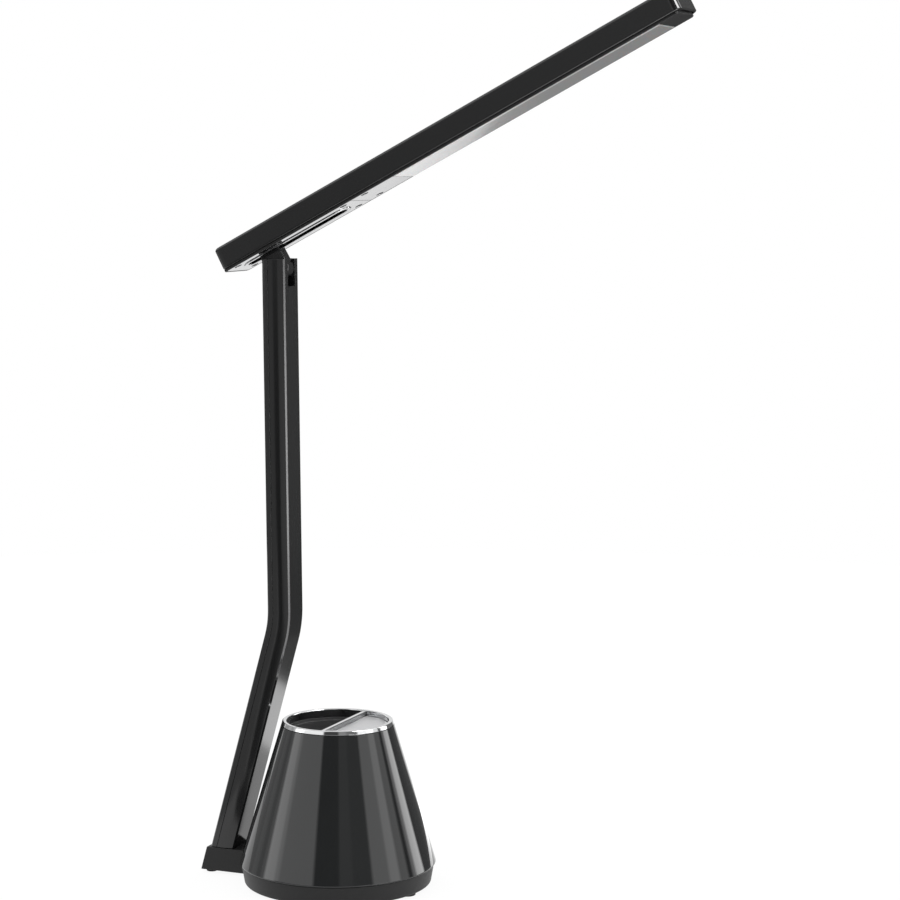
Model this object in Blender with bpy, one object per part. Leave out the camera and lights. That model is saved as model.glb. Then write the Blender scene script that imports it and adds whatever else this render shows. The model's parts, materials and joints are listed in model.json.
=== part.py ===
"""LED desk lamp: a glossy conical cup with an open pen well and a touch panel carries a bent arm.

A neck is hinged in the top of the arm and slides in a framed slot under a long light bar.
Sizes are in metres and angles in degrees. +X is the way that the light bar points, and the
lamp is the same on both sides of its XZ plane. Each piece is one object with one material.
"""

import math

import bmesh
import bpy
from mathutils import Matrix, Vector

# Clearances between pieces, and how far a cutter runs past what it cuts
SEAT_GAP = 0.0003
RUNNING_GAP = 0.00015
OVERRUN = 0.002
WELD = 1e-6

# Cup: a cone shell with a chrome ring on its mouth
CUP_RADIUS = 0.061
CUP_BOTTOM = 0.014
CUP_TOP = 0.1035
MOUTH_RADIUS = 0.0341
CUP_WALL = 0.0022
RING_HEIGHT = 0.0024
RING_INNER = 0.0316
SKIRT_DEPTH = 0.0049
RING_EDGE = 0.0004

# Pen well, divider bar and touch panel in the mouth
DIVIDER_X = 0.0039
DIVIDER_WIDTH = 0.0028
DIVIDER_DROP = 0.0005
PANEL_DROP = 0.0032
PANEL_THICKNESS = 0.0016
BOARD_THICKNESS = 0.0016
DECK_THICKNESS = 0.0025
WELL_RADIUS = 0.0302
WELL_WALL = 0.0015
WELL_FLOOR = 0.024
INSERT_WALL = 0.0017

# Base shell with its tail block
SHELL_BOTTOM = 0.002
SHELL_SETBACK = 0.0012
SHELL_TAPER = 0.0020
SHELL_FILLET = 0.0016
SHELL_FLOOR = 0.0022
SHELL_WALL = 0.0022
TAIL_TOP = 0.0173
TAIL_WIDTH = 0.017
TAIL_WALL = 0.0012
TAIL_ROOT_DEPTH = 0.015
SOCKET_DEPTH = 0.009

# Ballast, bosses, screws, feet and power inlet in the base; the insets are from the cup's widest edge
BALLAST_INSET = 0.017
BALLAST_HEIGHT = 0.0095
BOSS_INSET = 0.0105
BOSS_RADIUS = 0.0036
BOSS_ANGLES = (30.0, 120.0, 210.0, 300.0)
BOSS_SKIN = 0.0003
SCREW_RADIUS = 0.0013
SCREW_HEAD_RADIUS = 0.0021
SCREW_HEAD_HEIGHT = 0.0010
BASE_SCREW_LENGTH = 0.012
FOOT_RADIUS = 0.0055
FOOT_INSET = 0.011
FOOT_ANGLES = (-8.0, 82.0, 172.0, 262.0)
FOOT_RECESS = 0.0007
TAIL_FOOT_RADIUS = 0.0035
JACK_ANGLE = 152.0
JACK_RADIUS = 0.0040
JACK_LENGTH = 0.011
JACK_BORE = 0.0027
JACK_BORE_DEPTH = 0.009
JACK_PIN = 0.0010

# Arm: a moulding with bulged sides, open at the rear under a cover strip
ARM_DEPTH = 0.0174
ARM_EDGE_WIDTH = 0.0144
ARM_BULGE = 0.0008
ARM_CHAMFER = 0.0008
ARM_SPLIT = 0.0041
ARM_WALL = 0.0022
CHANNEL_WIDTH = 0.0104
BEND_SETBACK = 0.0254
BEND_Z = 0.1613
BEND_RADIUS = 0.070
LOWER_LEAN = 15.6
UPPER_LEAN = 0.7
FOOT_SOLID = 0.020
SPIGOT_INSET = 0.0014
ARM_SCREW_SPACING = 0.0060
ARM_SCREW_LENGTH = 0.016

# Hinge in the arm's top
HINGE_Z = 0.3813
ARM_RISE = 0.0058
FRONT_SLOT_WIDTH = 0.0097
FRONT_SLOT_DROP = 0.0109
REAR_NOTCH_DROP = 0.0080
KNUCKLE_RADIUS = 0.0085
NECK_WIDTH = 0.0084
NECK_EDGE = 0.0009
PIN_RADIUS = 0.0022
PIN_HEAD_RADIUS = 0.0036
PIN_HEAD_HEIGHT = 0.0010
PIN_SKIN = 0.0009
WASHER_RADIUS = 0.0052
WASHER_THICKNESS = 0.0004

# Head: a long housing over an inset frame, measured from the hinge axis
HEAD_ANGLE = 27.7
NECK_RISE = 0.0115
HEAD_BACK = 0.0282
HEAD_FRONT = 0.2997
HEAD_WIDTH = 0.0352
HEAD_HEIGHT = 0.0153
LIP_HEIGHT = 0.0017
LIP_INSET = 0.0013
LIP_BACK_INSET = 0.0003
LIP_FRONT_INSET = 0.0029
LIP_WALL = 0.0012
LIP_EDGE = 0.0003
HEAD_CORNER = 0.0040
HEAD_TOP_EDGE = 0.0010
SHOULDER_SHARE = 0.33
HEAD_LOW_EDGE = 0.0008
HEAD_WALL = 0.0016
TONGUE_HEIGHT = 0.0040
TONGUE_WALL = 0.0015

# Underside of the head: slot, its rim, covers, diffuser and screws
COVER_THICKNESS = 0.0020
SLOT_BACK = 0.0175
SLOT_FRONT = 0.0566
SLOT_WIDTH = 0.0098
SLOT_RIM_WIDTH = 0.0024
SLOT_RIM_PROUD = 0.0006
SLOT_FLANGE = 0.0012
SLOT_FLANGE_THICKNESS = 0.0012
SEAM_X = 0.0675
DIFFUSER_BACK = 0.0987
TIP_LENGTH = 0.0159
DIFFUSER_PROUD = 0.0004
DIFFUSER_BEVEL = 0.0007
COVER_SCREW_Y = 0.0112
COVER_SCREW_BACK = -0.0196
COVER_SCREW_MIDDLE = 0.0602
COVER_SCREW_FRONT = 0.0761
COVER_SCREW_LENGTH = 0.0070
COVER_SCREW_DROP = 0.0002
HEAD_BOSS_RADIUS = 0.0026

# Neck and carriage
NECK_TOP_DEPTH = 0.0158
CARRIAGE_LENGTH = 0.0240
CARRIAGE_WIDTH = 0.0138
CARRIAGE_HEIGHT = 0.0062
SHOE_LENGTH = 0.0180
SHOE_WIDTH = 0.0100
NECK_SCREW_SPACING = 0.0080
NECK_SCREW_LENGTH = 0.0120

# LED board
LED_ROWS = 2
LED_COLUMNS = 15
LED_SIZE = 0.0030
LED_HEIGHT = 0.0007
LED_BOARD_THICKNESS = 0.0012
LED_BOARD_MARGIN = 0.0015

# Facet counts, and the angle above which an edge stays sharp
SHARP_ANGLE = 35.0
SOFT_ANGLE = 40.0
NECK_SOFT_ANGLE = 60.0
ROUND_STEPS = 72
SMALL_STEPS = 24
TINY_STEPS = 16
CORNER_STEPS = 5
BEND_STEPS = 8
SIDE_STEPS = 6
KNUCKLE_STEPS = 24

# Sizes worked out from the ones above
SLOPE = (CUP_RADIUS - MOUTH_RADIUS) / (CUP_TOP - CUP_BOTTOM)
BALLAST_RADIUS = CUP_RADIUS - BALLAST_INSET
BOSS_CIRCLE = CUP_RADIUS - BOSS_INSET
BOSS_TOP = CUP_BOTTOM + (CUP_RADIUS - BOSS_CIRCLE - BOSS_RADIUS - BOSS_SKIN) / SLOPE
FOOT_CIRCLE = CUP_RADIUS - FOOT_INSET
TAIL_ROOT_X = TAIL_ROOT_DEPTH - CUP_RADIUS
BEND_X = BEND_SETBACK - CUP_RADIUS
DIFFUSER_FRONT = HEAD_FRONT - TIP_LENGTH
LOWER = math.radians(LOWER_LEAN)
UPPER = math.radians(UPPER_LEAN)
HINGE_X = BEND_X - (HINGE_Z - BEND_Z) * math.tan(UPPER)
ARM_TOP = HINGE_Z + ARM_RISE
HEAD_TOP = NECK_RISE + HEAD_HEIGHT
LIP_TOP = NECK_RISE + LIP_HEIGHT
HEAD_HALF = HEAD_WIDTH / 2
CEILING = HEAD_TOP - HEAD_WALL
COVER_INSIDE = NECK_RISE + COVER_THICKNESS
COVER_HALF = HEAD_HALF - LIP_INSET - LIP_WALL - SEAT_GAP
COVER_BACK = LIP_BACK_INSET + LIP_WALL + SEAT_GAP - HEAD_BACK
COVER_CORNER = max(HEAD_CORNER - LIP_INSET - LIP_WALL, SEAT_GAP)
FLANGE_TOP = COVER_INSIDE + SEAT_GAP + SLOT_FLANGE_THICKNESS
CARRIAGE_BOTTOM = FLANGE_TOP + SEAT_GAP
CARRIAGE_TOP = CARRIAGE_BOTTOM + CARRIAGE_HEIGHT
CHEEK_HALF = ARM_EDGE_WIDTH / 2 + ARM_BULGE
PANEL_TOP = CUP_TOP - PANEL_DROP
BOARD_TOP = PANEL_TOP - PANEL_THICKNESS - SEAT_GAP
DECK_TOP = BOARD_TOP - BOARD_THICKNESS - SEAT_GAP
RING_BOTTOM = CUP_TOP - RING_HEIGHT
INSERT_TOP = CUP_TOP - SKIRT_DEPTH - SEAT_GAP
FLOOR_TOP = SHELL_BOTTOM + SHELL_FLOOR


def clear_scene():
    """Remove what the startup scene holds."""
    for found in list(bpy.data.objects):
        bpy.data.objects.remove(found, do_unlink=True)


# Materials


def make_material(name, colour, roughness, metallic=0.0):
    """One Principled BSDF material with a plain colour."""
    material = bpy.data.materials.new(name)
    material.use_nodes = True
    shader = material.node_tree.nodes["Principled BSDF"]
    shader.inputs["Base Color"].default_value = (*colour, 1.0)
    shader.inputs["Roughness"].default_value = roughness
    shader.inputs["Metallic"].default_value = metallic
    material.diffuse_color = (*colour, 1.0)
    return material


def make_materials():
    """The finishes, by the name of what wears them."""
    return {
        "gloss_black": make_material("gloss_black", (0.020, 0.021, 0.022), 0.06),
        "satin_black": make_material("satin_black", (0.026, 0.027, 0.028), 0.28),
        "matte_black": make_material("matte_black", (0.028, 0.028, 0.029), 0.55),
        "well_black": make_material("well_black", (0.030, 0.030, 0.031), 0.45),
        "chrome": make_material("chrome", (0.82, 0.83, 0.84), 0.06, 1.0),
        "silver": make_material("silver", (0.60, 0.61, 0.62), 0.35, 0.3),
        "bright_silver": make_material("bright_silver", (0.50, 0.50, 0.51), 0.15, 0.9),
        "opal": make_material("opal", (0.72, 0.72, 0.71), 0.40),
        "steel": make_material("steel", (0.55, 0.56, 0.57), 0.30, 1.0),
        "dark_steel": make_material("dark_steel", (0.09, 0.09, 0.09), 0.40, 1.0),
        "cast_iron": make_material("cast_iron", (0.09, 0.09, 0.09), 0.60, 1.0),
        "rubber": make_material("rubber", (0.015, 0.015, 0.015), 0.85),
        "acetal": make_material("acetal", (0.030, 0.030, 0.031), 0.45),
        "board": make_material("board", (0.70, 0.71, 0.70), 0.45),
    }


# Object helpers


def add_empty(name, parent=None, location=(0.0, 0.0, 0.0), tilt=0.0):
    """An empty that carries a group of pieces, turned about Y by tilt radians."""
    empty = bpy.data.objects.new(name, None)
    bpy.context.scene.collection.objects.link(empty)
    empty.parent = parent
    empty.location = location
    empty.rotation_euler = (0.0, tilt, 0.0)
    return empty


def add_object(name, mesh, parent, material=None, location=(0.0, 0.0, 0.0)):
    """Link one mesh as an object under its parent."""
    placed = bpy.data.objects.new(name, mesh)
    bpy.context.scene.collection.objects.link(placed)
    placed.parent = parent
    placed.location = location
    if material is None:
        placed.hide_render = True
        placed.display_type = "WIRE"
    else:
        mesh.materials.append(material)
    return placed


def finish_mesh(name, shape, smooth):
    """Weld, face outwards and store a bmesh; smooth meshes keep their sharp edges."""
    bmesh.ops.remove_doubles(shape, verts=shape.verts, dist=WELD)
    bmesh.ops.recalc_face_normals(shape, faces=shape.faces)
    mesh = bpy.data.meshes.new(name)
    shape.to_mesh(mesh)
    shape.free()
    if smooth:
        mesh.shade_smooth()
        mesh.set_sharp_from_angle(angle=math.radians(SHARP_ANGLE))
    return mesh


def loft(name, loops, parent, material=None, location=(0.0, 0.0, 0.0), closed=False, smooth=False):
    """A solid through loops of points: each is joined to the next, and the ends are capped or joined."""
    shape = bmesh.new()
    rings = [[shape.verts.new(point) for point in loop] for loop in loops]
    pairs = list(zip(rings, rings[1:]))
    if closed:
        pairs.append((rings[-1], rings[0]))
    for first, second in pairs:
        for here in range(len(first)):
            after = (here + 1) % len(first)
            shape.faces.new((first[here], first[after], second[after], second[here]))
    if not closed:
        shape.faces.new(rings[0])
        shape.faces.new(rings[-1])
    return add_object(name, finish_mesh(name, shape, smooth), parent, material, location)


def turned(name, profile, parent, material=None, location=(0.0, 0.0, 0.0), steps=SMALL_STEPS, ring=False):
    """A turned solid: a Screw modifier on a profile of (radius, height), which runs down its outer side."""
    mesh = bpy.data.meshes.new(name)
    points = [(radius, 0.0, height) for radius, height in profile]
    edges = [(place, place + 1) for place in range(len(points) - 1)]
    if ring:
        edges.append((len(points) - 1, 0))
    mesh.from_pydata(points, edges, [])
    placed = add_object(name, mesh, parent, material, location)
    screw = placed.modifiers.new("Turn", "SCREW")
    screw.steps = steps
    screw.render_steps = steps
    screw.use_merge_vertices = True
    screw.merge_threshold = WELD
    screw.use_smooth_shade = True
    return placed


def cylinder(name, radius, bottom, top, parent, material=None, location=(0.0, 0.0, 0.0), steps=SMALL_STEPS):
    """A plain turned cylinder from bottom to top."""
    profile = [(0.0, top), (radius, top), (radius, bottom), (0.0, bottom)]
    return turned(name, profile, parent, material, location, steps)


def box(name, low, high, parent, material=None):
    """A box between two corners."""
    loops = []
    for height in (low[2], high[2]):
        corners = ((low[0], low[1]), (high[0], low[1]), (high[0], high[1]), (low[0], high[1]))
        loops.append([(x, y, height) for x, y in corners])
    return loft(name, loops, parent, material)


def screw_piece(name, length, parent, material, place, turned_over, clearance=0.0, reach=SCREW_HEAD_HEIGHT):
    """A screw with its head's inner face at place and its shank up from there, or down when turned over.

    With a clearance it cuts the screw's stepped hole, which runs past the head's face by the reach.
    """
    shank = SCREW_RADIUS + clearance
    head = SCREW_HEAD_RADIUS + clearance
    tip = length - SCREW_HEAD_HEIGHT + clearance
    stem = [(0.0, tip), (shank, tip), (shank, clearance)]
    profile = stem + [(head, clearance), (head, -reach), (0.0, -reach)]
    screw = turned(name, profile, parent, material, place, TINY_STEPS)
    if turned_over:
        screw.rotation_euler = (math.pi, 0.0, 0.0)
    return screw


def add_screw(name, length, parent, material, place, pieces, turned_over=False):
    """A screw, and its hole in each of the pieces that it holds together."""
    screw_piece(name, length, parent, material, place, turned_over)
    reach = SCREW_HEAD_HEIGHT + OVERRUN
    hole = screw_piece(f"{name}_hole", length, parent, None, place, turned_over, SEAT_GAP, reach)
    for piece in pieces:
        combine(piece, hole, "DIFFERENCE")


def combine(target, tool, operation):
    """Cut a helper from an object, or join it on."""
    step = target.modifiers.new(tool.name, "BOOLEAN")
    step.operation = operation
    step.solver = "EXACT"
    step.object = tool
    return target


def soften(target, width, angle=SOFT_ANGLE, segments=1):
    """Bevel the edges sharper than an angle."""
    bevel = target.modifiers.new("Edges", "BEVEL")
    bevel.width = width
    bevel.segments = segments
    bevel.limit_method = "ANGLE"
    bevel.angle_limit = math.radians(angle)
    return target


def lay_along_y(placed):
    """Turn a piece so that its own Z runs along +Y."""
    placed.rotation_euler = (-math.pi / 2, 0.0, 0.0)
    return placed


# Outlines


def rounded_outline(back, front, half, corner, front_corner=None, steps=CORNER_STEPS):
    """Points (x, y) round a rectangle with rounded corners; the front ones can have their own radius."""
    ahead = corner if front_corner is None else front_corner
    points = []
    corners = (
        (front - ahead, half - ahead, ahead),
        (back + corner, half - corner, corner),
        (back + corner, corner - half, corner),
        (front - ahead, ahead - half, ahead),
    )
    for quarter, (centre_x, centre_y, radius) in enumerate(corners):
        for step in range(steps + 1):
            angle = math.pi / 2 * (quarter + step / steps)
            points.append((centre_x + radius * math.cos(angle), centre_y + radius * math.sin(angle)))
    return points


def at_height(outline, height):
    """Lift an outline to a height."""
    return [(x, y, height) for x, y in outline]


def segment_outline(radius, chord, towards, steps=ROUND_STEPS // 2):
    """The part of a disc on one side of a chord that runs along Y; towards is 1 for +X and -1 for -X."""
    reach = math.acos(max(-1.0, min(1.0, towards * chord / radius)))
    points = []
    for step in range(steps + 1):
        angle = reach * (2.0 * step / steps - 1.0)
        points.append((towards * radius * math.cos(angle), radius * math.sin(angle)))
    return points


def polar(radius, angle):
    """A place on a circle round the cup's axis, angle in degrees."""
    turn = math.radians(angle)
    return radius * math.cos(turn), radius * math.sin(turn)


def cup_outer(height):
    """The cup's outer radius at a height."""
    return CUP_RADIUS - SLOPE * (height - CUP_BOTTOM)


def cup_inner(height):
    """The cup's inner radius at a height."""
    return cup_outer(height) - CUP_WALL * math.hypot(1.0, SLOPE)


def insert_inner():
    """Inner radius of the insert's upstand."""
    return cup_inner(INSERT_TOP) - SEAT_GAP - INSERT_WALL


def shell_radius(height):
    """The base shell's outer radius at a height."""
    rise = (height - SHELL_BOTTOM) / (CUP_BOTTOM - SHELL_BOTTOM)
    return CUP_RADIUS - SHELL_SETBACK - SHELL_TAPER * (1.0 - rise)


# Cup


def build_cup(root, finish):
    """The cone shell with its screw bosses inside."""
    top = RING_BOTTOM - SEAT_GAP
    profile = [
        (cup_outer(top), top),
        (CUP_RADIUS, CUP_BOTTOM),
        (cup_inner(CUP_BOTTOM), CUP_BOTTOM),
        (cup_inner(top), top),
    ]
    cup = turned("cup_shell", profile, root, finish["gloss_black"], steps=ROUND_STEPS, ring=True)
    for number, angle in enumerate(BOSS_ANGLES, 1):
        x, y = polar(BOSS_CIRCLE, angle)
        foot = FLOOR_TOP + SEAT_GAP
        place = (x, y, 0.0)
        boss = cylinder(f"cup_boss_{number}", BOSS_RADIUS, foot, BOSS_TOP, root, None, place, TINY_STEPS)
        combine(cup, boss, "UNION")
    return cup


def build_ring(root, finish):
    """The chrome ring: a rounded lip on the cup's edge and a skirt down inside the mouth."""
    skirt_outer = cup_inner(RING_BOTTOM) - SEAT_GAP
    profile = [
        (RING_INNER + RING_EDGE, CUP_TOP),
        (MOUTH_RADIUS - RING_EDGE, CUP_TOP),
        (MOUTH_RADIUS, CUP_TOP - RING_EDGE),
        (cup_outer(RING_BOTTOM), RING_BOTTOM),
        (skirt_outer, RING_BOTTOM),
        (skirt_outer, CUP_TOP - SKIRT_DEPTH),
        (RING_INNER, CUP_TOP - SKIRT_DEPTH),
        (RING_INNER, CUP_TOP - RING_EDGE),
    ]
    return turned("chrome_ring", profile, root, finish["chrome"], steps=ROUND_STEPS, ring=True)


def build_insert(root, finish):
    """The moulding in the mouth: a deck under the panel, an upstand under the ring, and the pen well."""
    deck_bottom = DECK_TOP - DECK_THICKNESS
    profile = [
        (0.0, INSERT_TOP),
        (cup_inner(INSERT_TOP) - SEAT_GAP, INSERT_TOP),
        (cup_inner(deck_bottom) - SEAT_GAP, deck_bottom),
        (0.0, deck_bottom),
    ]
    disc = turned("pen_well", profile, root, finish["well_black"], steps=ROUND_STEPS)
    pocket = cylinder("panel_pocket", insert_inner(), DECK_TOP, INSERT_TOP + OVERRUN, root, steps=ROUND_STEPS)
    combine(disc, pocket, "DIFFERENCE")
    chord = DIVIDER_X - DIVIDER_WIDTH / 2
    wide = segment_outline(WELL_RADIUS + WELL_WALL, chord + WELL_WALL, -1)
    middle = DECK_TOP - DECK_THICKNESS / 2
    loops = [at_height(wide, WELL_FLOOR - WELL_WALL), at_height(wide, middle)]
    combine(disc, loft("well_body", loops, root), "UNION")
    narrow = segment_outline(WELL_RADIUS, chord, -1)
    loops = [at_height(narrow, WELL_FLOOR), at_height(narrow, INSERT_TOP + OVERRUN)]
    combine(disc, loft("well_hollow", loops, root), "DIFFERENCE")
    return disc


def build_mouth_trim(root, finish):
    """The chrome divider bar, the panel beside it and the board under the panel."""
    reach = RING_INNER - SEAT_GAP
    low_x = DIVIDER_X - DIVIDER_WIDTH / 2
    high_x = DIVIDER_X + DIVIDER_WIDTH / 2
    half = math.sqrt(reach**2 - high_x**2)
    low = (low_x, -half, DECK_TOP + SEAT_GAP)
    divider = box("divider_bar", low, (high_x, half, CUP_TOP - DIVIDER_DROP), root, finish["chrome"])
    soften(divider, RING_EDGE)
    panel_edge = segment_outline(reach, high_x + SEAT_GAP, 1)
    loops = [at_height(panel_edge, PANEL_TOP - PANEL_THICKNESS), at_height(panel_edge, PANEL_TOP)]
    loft("touch_panel", loops, root, finish["silver"])
    board_edge = segment_outline(min(insert_inner() - SEAT_GAP, reach), high_x + SEAT_GAP, 1)
    loops = [at_height(board_edge, BOARD_TOP - BOARD_THICKNESS), at_height(board_edge, BOARD_TOP)]
    loft("touch_board", loops, root, finish["board"])


# Base


def build_base(root, finish):
    """The dish under the cup, with the tail block that holds the arm's foot."""
    top = CUP_BOTTOM - SEAT_GAP
    foot = shell_radius(SHELL_BOTTOM)
    profile = [
        (0.0, top),
        (shell_radius(top), top),
        (shell_radius(SHELL_BOTTOM + SHELL_FILLET), SHELL_BOTTOM + SHELL_FILLET),
        (foot - SHELL_FILLET, SHELL_BOTTOM),
        (0.0, SHELL_BOTTOM),
    ]
    dish = turned("base_shell", profile, root, finish["matte_black"], steps=ROUND_STEPS)
    combine(dish, build_tail(root), "UNION")
    hollow_top = shell_radius(top) - SHELL_WALL
    hollow_foot = shell_radius(FLOOR_TOP) - SHELL_WALL
    mouth = top + OVERRUN
    hollow_profile = [(0.0, mouth), (hollow_top, mouth), (hollow_foot, FLOOR_TOP), (0.0, FLOOR_TOP)]
    combine(dish, turned("dish_hollow", hollow_profile, root, steps=ROUND_STEPS), "DIFFERENCE")
    combine(dish, build_spigot("foot_socket", root, SEAT_GAP), "DIFFERENCE")
    for name, x, y, radius in foot_places():
        recess_top = SHELL_BOTTOM + FOOT_RECESS
        wide = radius + SEAT_GAP
        recess = cylinder(f"{name}_recess", wide, SHELL_BOTTOM - OVERRUN, recess_top, root, None, (x, y, 0.0))
        combine(dish, recess, "DIFFERENCE")
    inlet = cylinder("inlet_hole", JACK_RADIUS + SEAT_GAP, -OVERRUN, JACK_LENGTH, root)
    combine(dish, aim_inlet(inlet), "DIFFERENCE")
    return dish


def build_tail(root):
    """The block behind the dish; its rear slants like the arm."""
    rear_top = arm_rear_x(TAIL_TOP) - TAIL_WALL
    rear_bottom = rear_top - math.tan(LOWER) * (TAIL_TOP - SHELL_BOTTOM)
    half = TAIL_WIDTH / 2
    lower = [(rear_bottom, -half), (TAIL_ROOT_X, -half), (TAIL_ROOT_X, half), (rear_bottom, half)]
    upper = [(rear_top, -half), (TAIL_ROOT_X, -half), (TAIL_ROOT_X, half), (rear_top, half)]
    tail = loft("tail_block", [at_height(lower, SHELL_BOTTOM), at_height(upper, TAIL_TOP)], root)
    clear = CUP_RADIUS + SEAT_GAP
    return combine(
        tail,
        cylinder("tail_clearance", clear, CUP_BOTTOM - SEAT_GAP, TAIL_TOP + OVERRUN, root, steps=ROUND_STEPS),
        "DIFFERENCE",
    )


def foot_places():
    """Places of the rubber feet: name, x, y and radius."""
    places = []
    for number, angle in enumerate(FOOT_ANGLES, 1):
        x, y = polar(FOOT_CIRCLE, angle)
        places.append((f"foot_{number}", x, y, FOOT_RADIUS))
    reach = arm_rear_x(SHELL_BOTTOM) + TAIL_FOOT_RADIUS
    side = TAIL_WIDTH / 2 - TAIL_FOOT_RADIUS - SEAT_GAP
    places.append(("tail_foot_1", reach, -side, TAIL_FOOT_RADIUS))
    places.append(("tail_foot_2", reach, side, TAIL_FOOT_RADIUS))
    return places


def aim_inlet(placed):
    """Lay a turned piece along the inlet's axis: its own zero on the shell's face, its own Z inwards."""
    height = FLOOR_TOP + 2 * SEAT_GAP + JACK_RADIUS
    x, y = polar(shell_radius(height), JACK_ANGLE)
    placed.location = (x, y, height)
    placed.rotation_euler = (0.0, -math.pi / 2, math.radians(JACK_ANGLE))
    return placed


def build_base_parts(root, finish, cup, dish, arm):
    """Ballast, screws, feet and the power inlet."""
    ballast_low = FLOOR_TOP + SEAT_GAP
    ballast_high = ballast_low + BALLAST_HEIGHT
    cylinder("ballast_weight", BALLAST_RADIUS, ballast_low, ballast_high, root, finish["cast_iron"])
    seat = SHELL_BOTTOM + SCREW_HEAD_HEIGHT
    for number, angle in enumerate(BOSS_ANGLES, 1):
        x, y = polar(BOSS_CIRCLE, angle)
        add_screw(f"base_screw_{number}", BASE_SCREW_LENGTH, root, finish["steel"], (x, y, seat), (dish, cup))
    middle = arm_centre_x(TAIL_TOP - SOCKET_DEPTH / 2) + ARM_SPLIT / 2
    for number, side in enumerate((-1, 1), 1):
        x = middle + side * ARM_SCREW_SPACING / 2
        add_screw(f"arm_screw_{number}", ARM_SCREW_LENGTH, root, finish["steel"], (x, 0.0, seat), (dish, arm))
    for name, x, y, radius in foot_places():
        top = SHELL_BOTTOM + FOOT_RECESS - SEAT_GAP
        cylinder(name, radius, 0.0, top, root, finish["rubber"], (x, y, 0.0))
    profile = [
        (0.0, JACK_LENGTH),
        (JACK_RADIUS, JACK_LENGTH),
        (JACK_RADIUS, SEAT_GAP),
        (JACK_BORE, SEAT_GAP),
        (JACK_BORE, JACK_BORE_DEPTH),
        (JACK_PIN, JACK_BORE_DEPTH),
        (JACK_PIN, SEAT_GAP + OVERRUN),
        (0.0, SEAT_GAP + OVERRUN),
    ]
    aim_inlet(turned("power_inlet", profile, root, finish["matte_black"]))


# Arm


def arm_centre_x(height):
    """X of the arm's centre line at a height on its lower stretch."""
    return BEND_X - math.tan(LOWER) * (BEND_Z - height)


def arm_rear_x(height):
    """X of the arm's rear face at a height on its lower stretch."""
    return arm_centre_x(height) - ARM_DEPTH / 2 / math.cos(LOWER)


def arm_stations(start, end):
    """Places along the arm's centre line, (x, z, lean), between two heights; both end cuts are level."""
    turn = LOWER + UPPER
    tangent = BEND_RADIUS * math.tan(turn / 2)
    corner = Vector((BEND_X, BEND_Z))
    arc_start = corner - Vector((math.sin(LOWER), math.cos(LOWER))) * tangent
    centre = arc_start - Vector((math.cos(LOWER), -math.sin(LOWER))) * BEND_RADIUS
    stations = [(arm_centre_x(start), start, LOWER)]
    for step in range(BEND_STEPS + 1):
        lean = LOWER - turn * step / BEND_STEPS
        spot = centre + Vector((math.cos(lean), -math.sin(lean))) * BEND_RADIUS
        stations.append((spot.x, spot.y, lean))
    stations.append((BEND_X - (end - BEND_Z) * math.tan(UPPER), end, -UPPER))
    return stations


def side_half(depth):
    """Half the arm's width at a depth from its rear face: the sides bulge in the middle."""
    share = 2.0 * depth / ARM_DEPTH - 1.0
    return ARM_EDGE_WIDTH / 2 + ARM_BULGE * (1.0 - share**2)


def arm_outline(rear, front, inset=0.0):
    """The arm's cross-section as (depth, y) between two depths, with chamfers at the rear and front faces."""
    sides = []
    for step in range(SIDE_STEPS + 1):
        depth = rear + (front - rear) * step / SIDE_STEPS
        sides.append((depth, side_half(depth)))
    if rear <= 0.0:
        sides[0] = (rear + ARM_CHAMFER, side_half(rear))
        sides.insert(0, (rear, side_half(rear) - ARM_CHAMFER))
    if front >= ARM_DEPTH:
        sides[-1] = (front - ARM_CHAMFER, side_half(front))
        sides.append((front, side_half(front) - ARM_CHAMFER))
    shrink = 1.0 - 2.0 * inset / (front - rear)
    middle = (rear + front) / 2
    drawn = [(middle + (depth - middle) * shrink, half - inset) for depth, half in sides]
    return drawn + [(depth, -half) for depth, half in reversed(drawn)]


def section(outline, x, z, lean, level=False):
    """A cross-section of (depth, y) set square to the arm at one place, or cut level there."""
    loop = []
    for depth, y in outline:
        offset = depth - ARM_DEPTH / 2
        if level:
            loop.append((x + offset / math.cos(lean), y, z))
        else:
            loop.append((x + offset * math.cos(lean), y, z - offset * math.sin(lean)))
    return loop


def sweep(outline, stations):
    """The loops of a cross-section carried along the arm, with level cuts at both ends."""
    ends = (0, len(stations) - 1)
    return [section(outline, *place, number in ends) for number, place in enumerate(stations)]


def arm_foot():
    """Height of the shoulder on which the arm stands."""
    return TAIL_TOP + SEAT_GAP


def spigot_loops(grow=0.0):
    """The arm's spigot, from its end in the tail block up to the shoulder."""
    outline = arm_outline(ARM_SPLIT + SEAT_GAP / 2, ARM_DEPTH, SPIGOT_INSET - grow)
    low = TAIL_TOP - SOCKET_DEPTH - grow
    high = arm_foot() + grow
    return [section(outline, arm_centre_x(height), height, LOWER, True) for height in (low, high)]


def build_spigot(name, parent, grow):
    """A solid the size of the spigot and its clearance, which cuts the socket."""
    return loft(name, spigot_loops(grow), parent)


def build_channel(name, rear, front, parent):
    """The hollow inside the arm between two depths, from above the solid foot to past the top."""
    half = CHANNEL_WIDTH / 2
    outline = [(rear, half), (front, half), (front, -half), (rear, -half)]
    return loft(name, sweep(outline, arm_stations(arm_foot() + FOOT_SOLID, ARM_TOP + OVERRUN)), parent)


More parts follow.
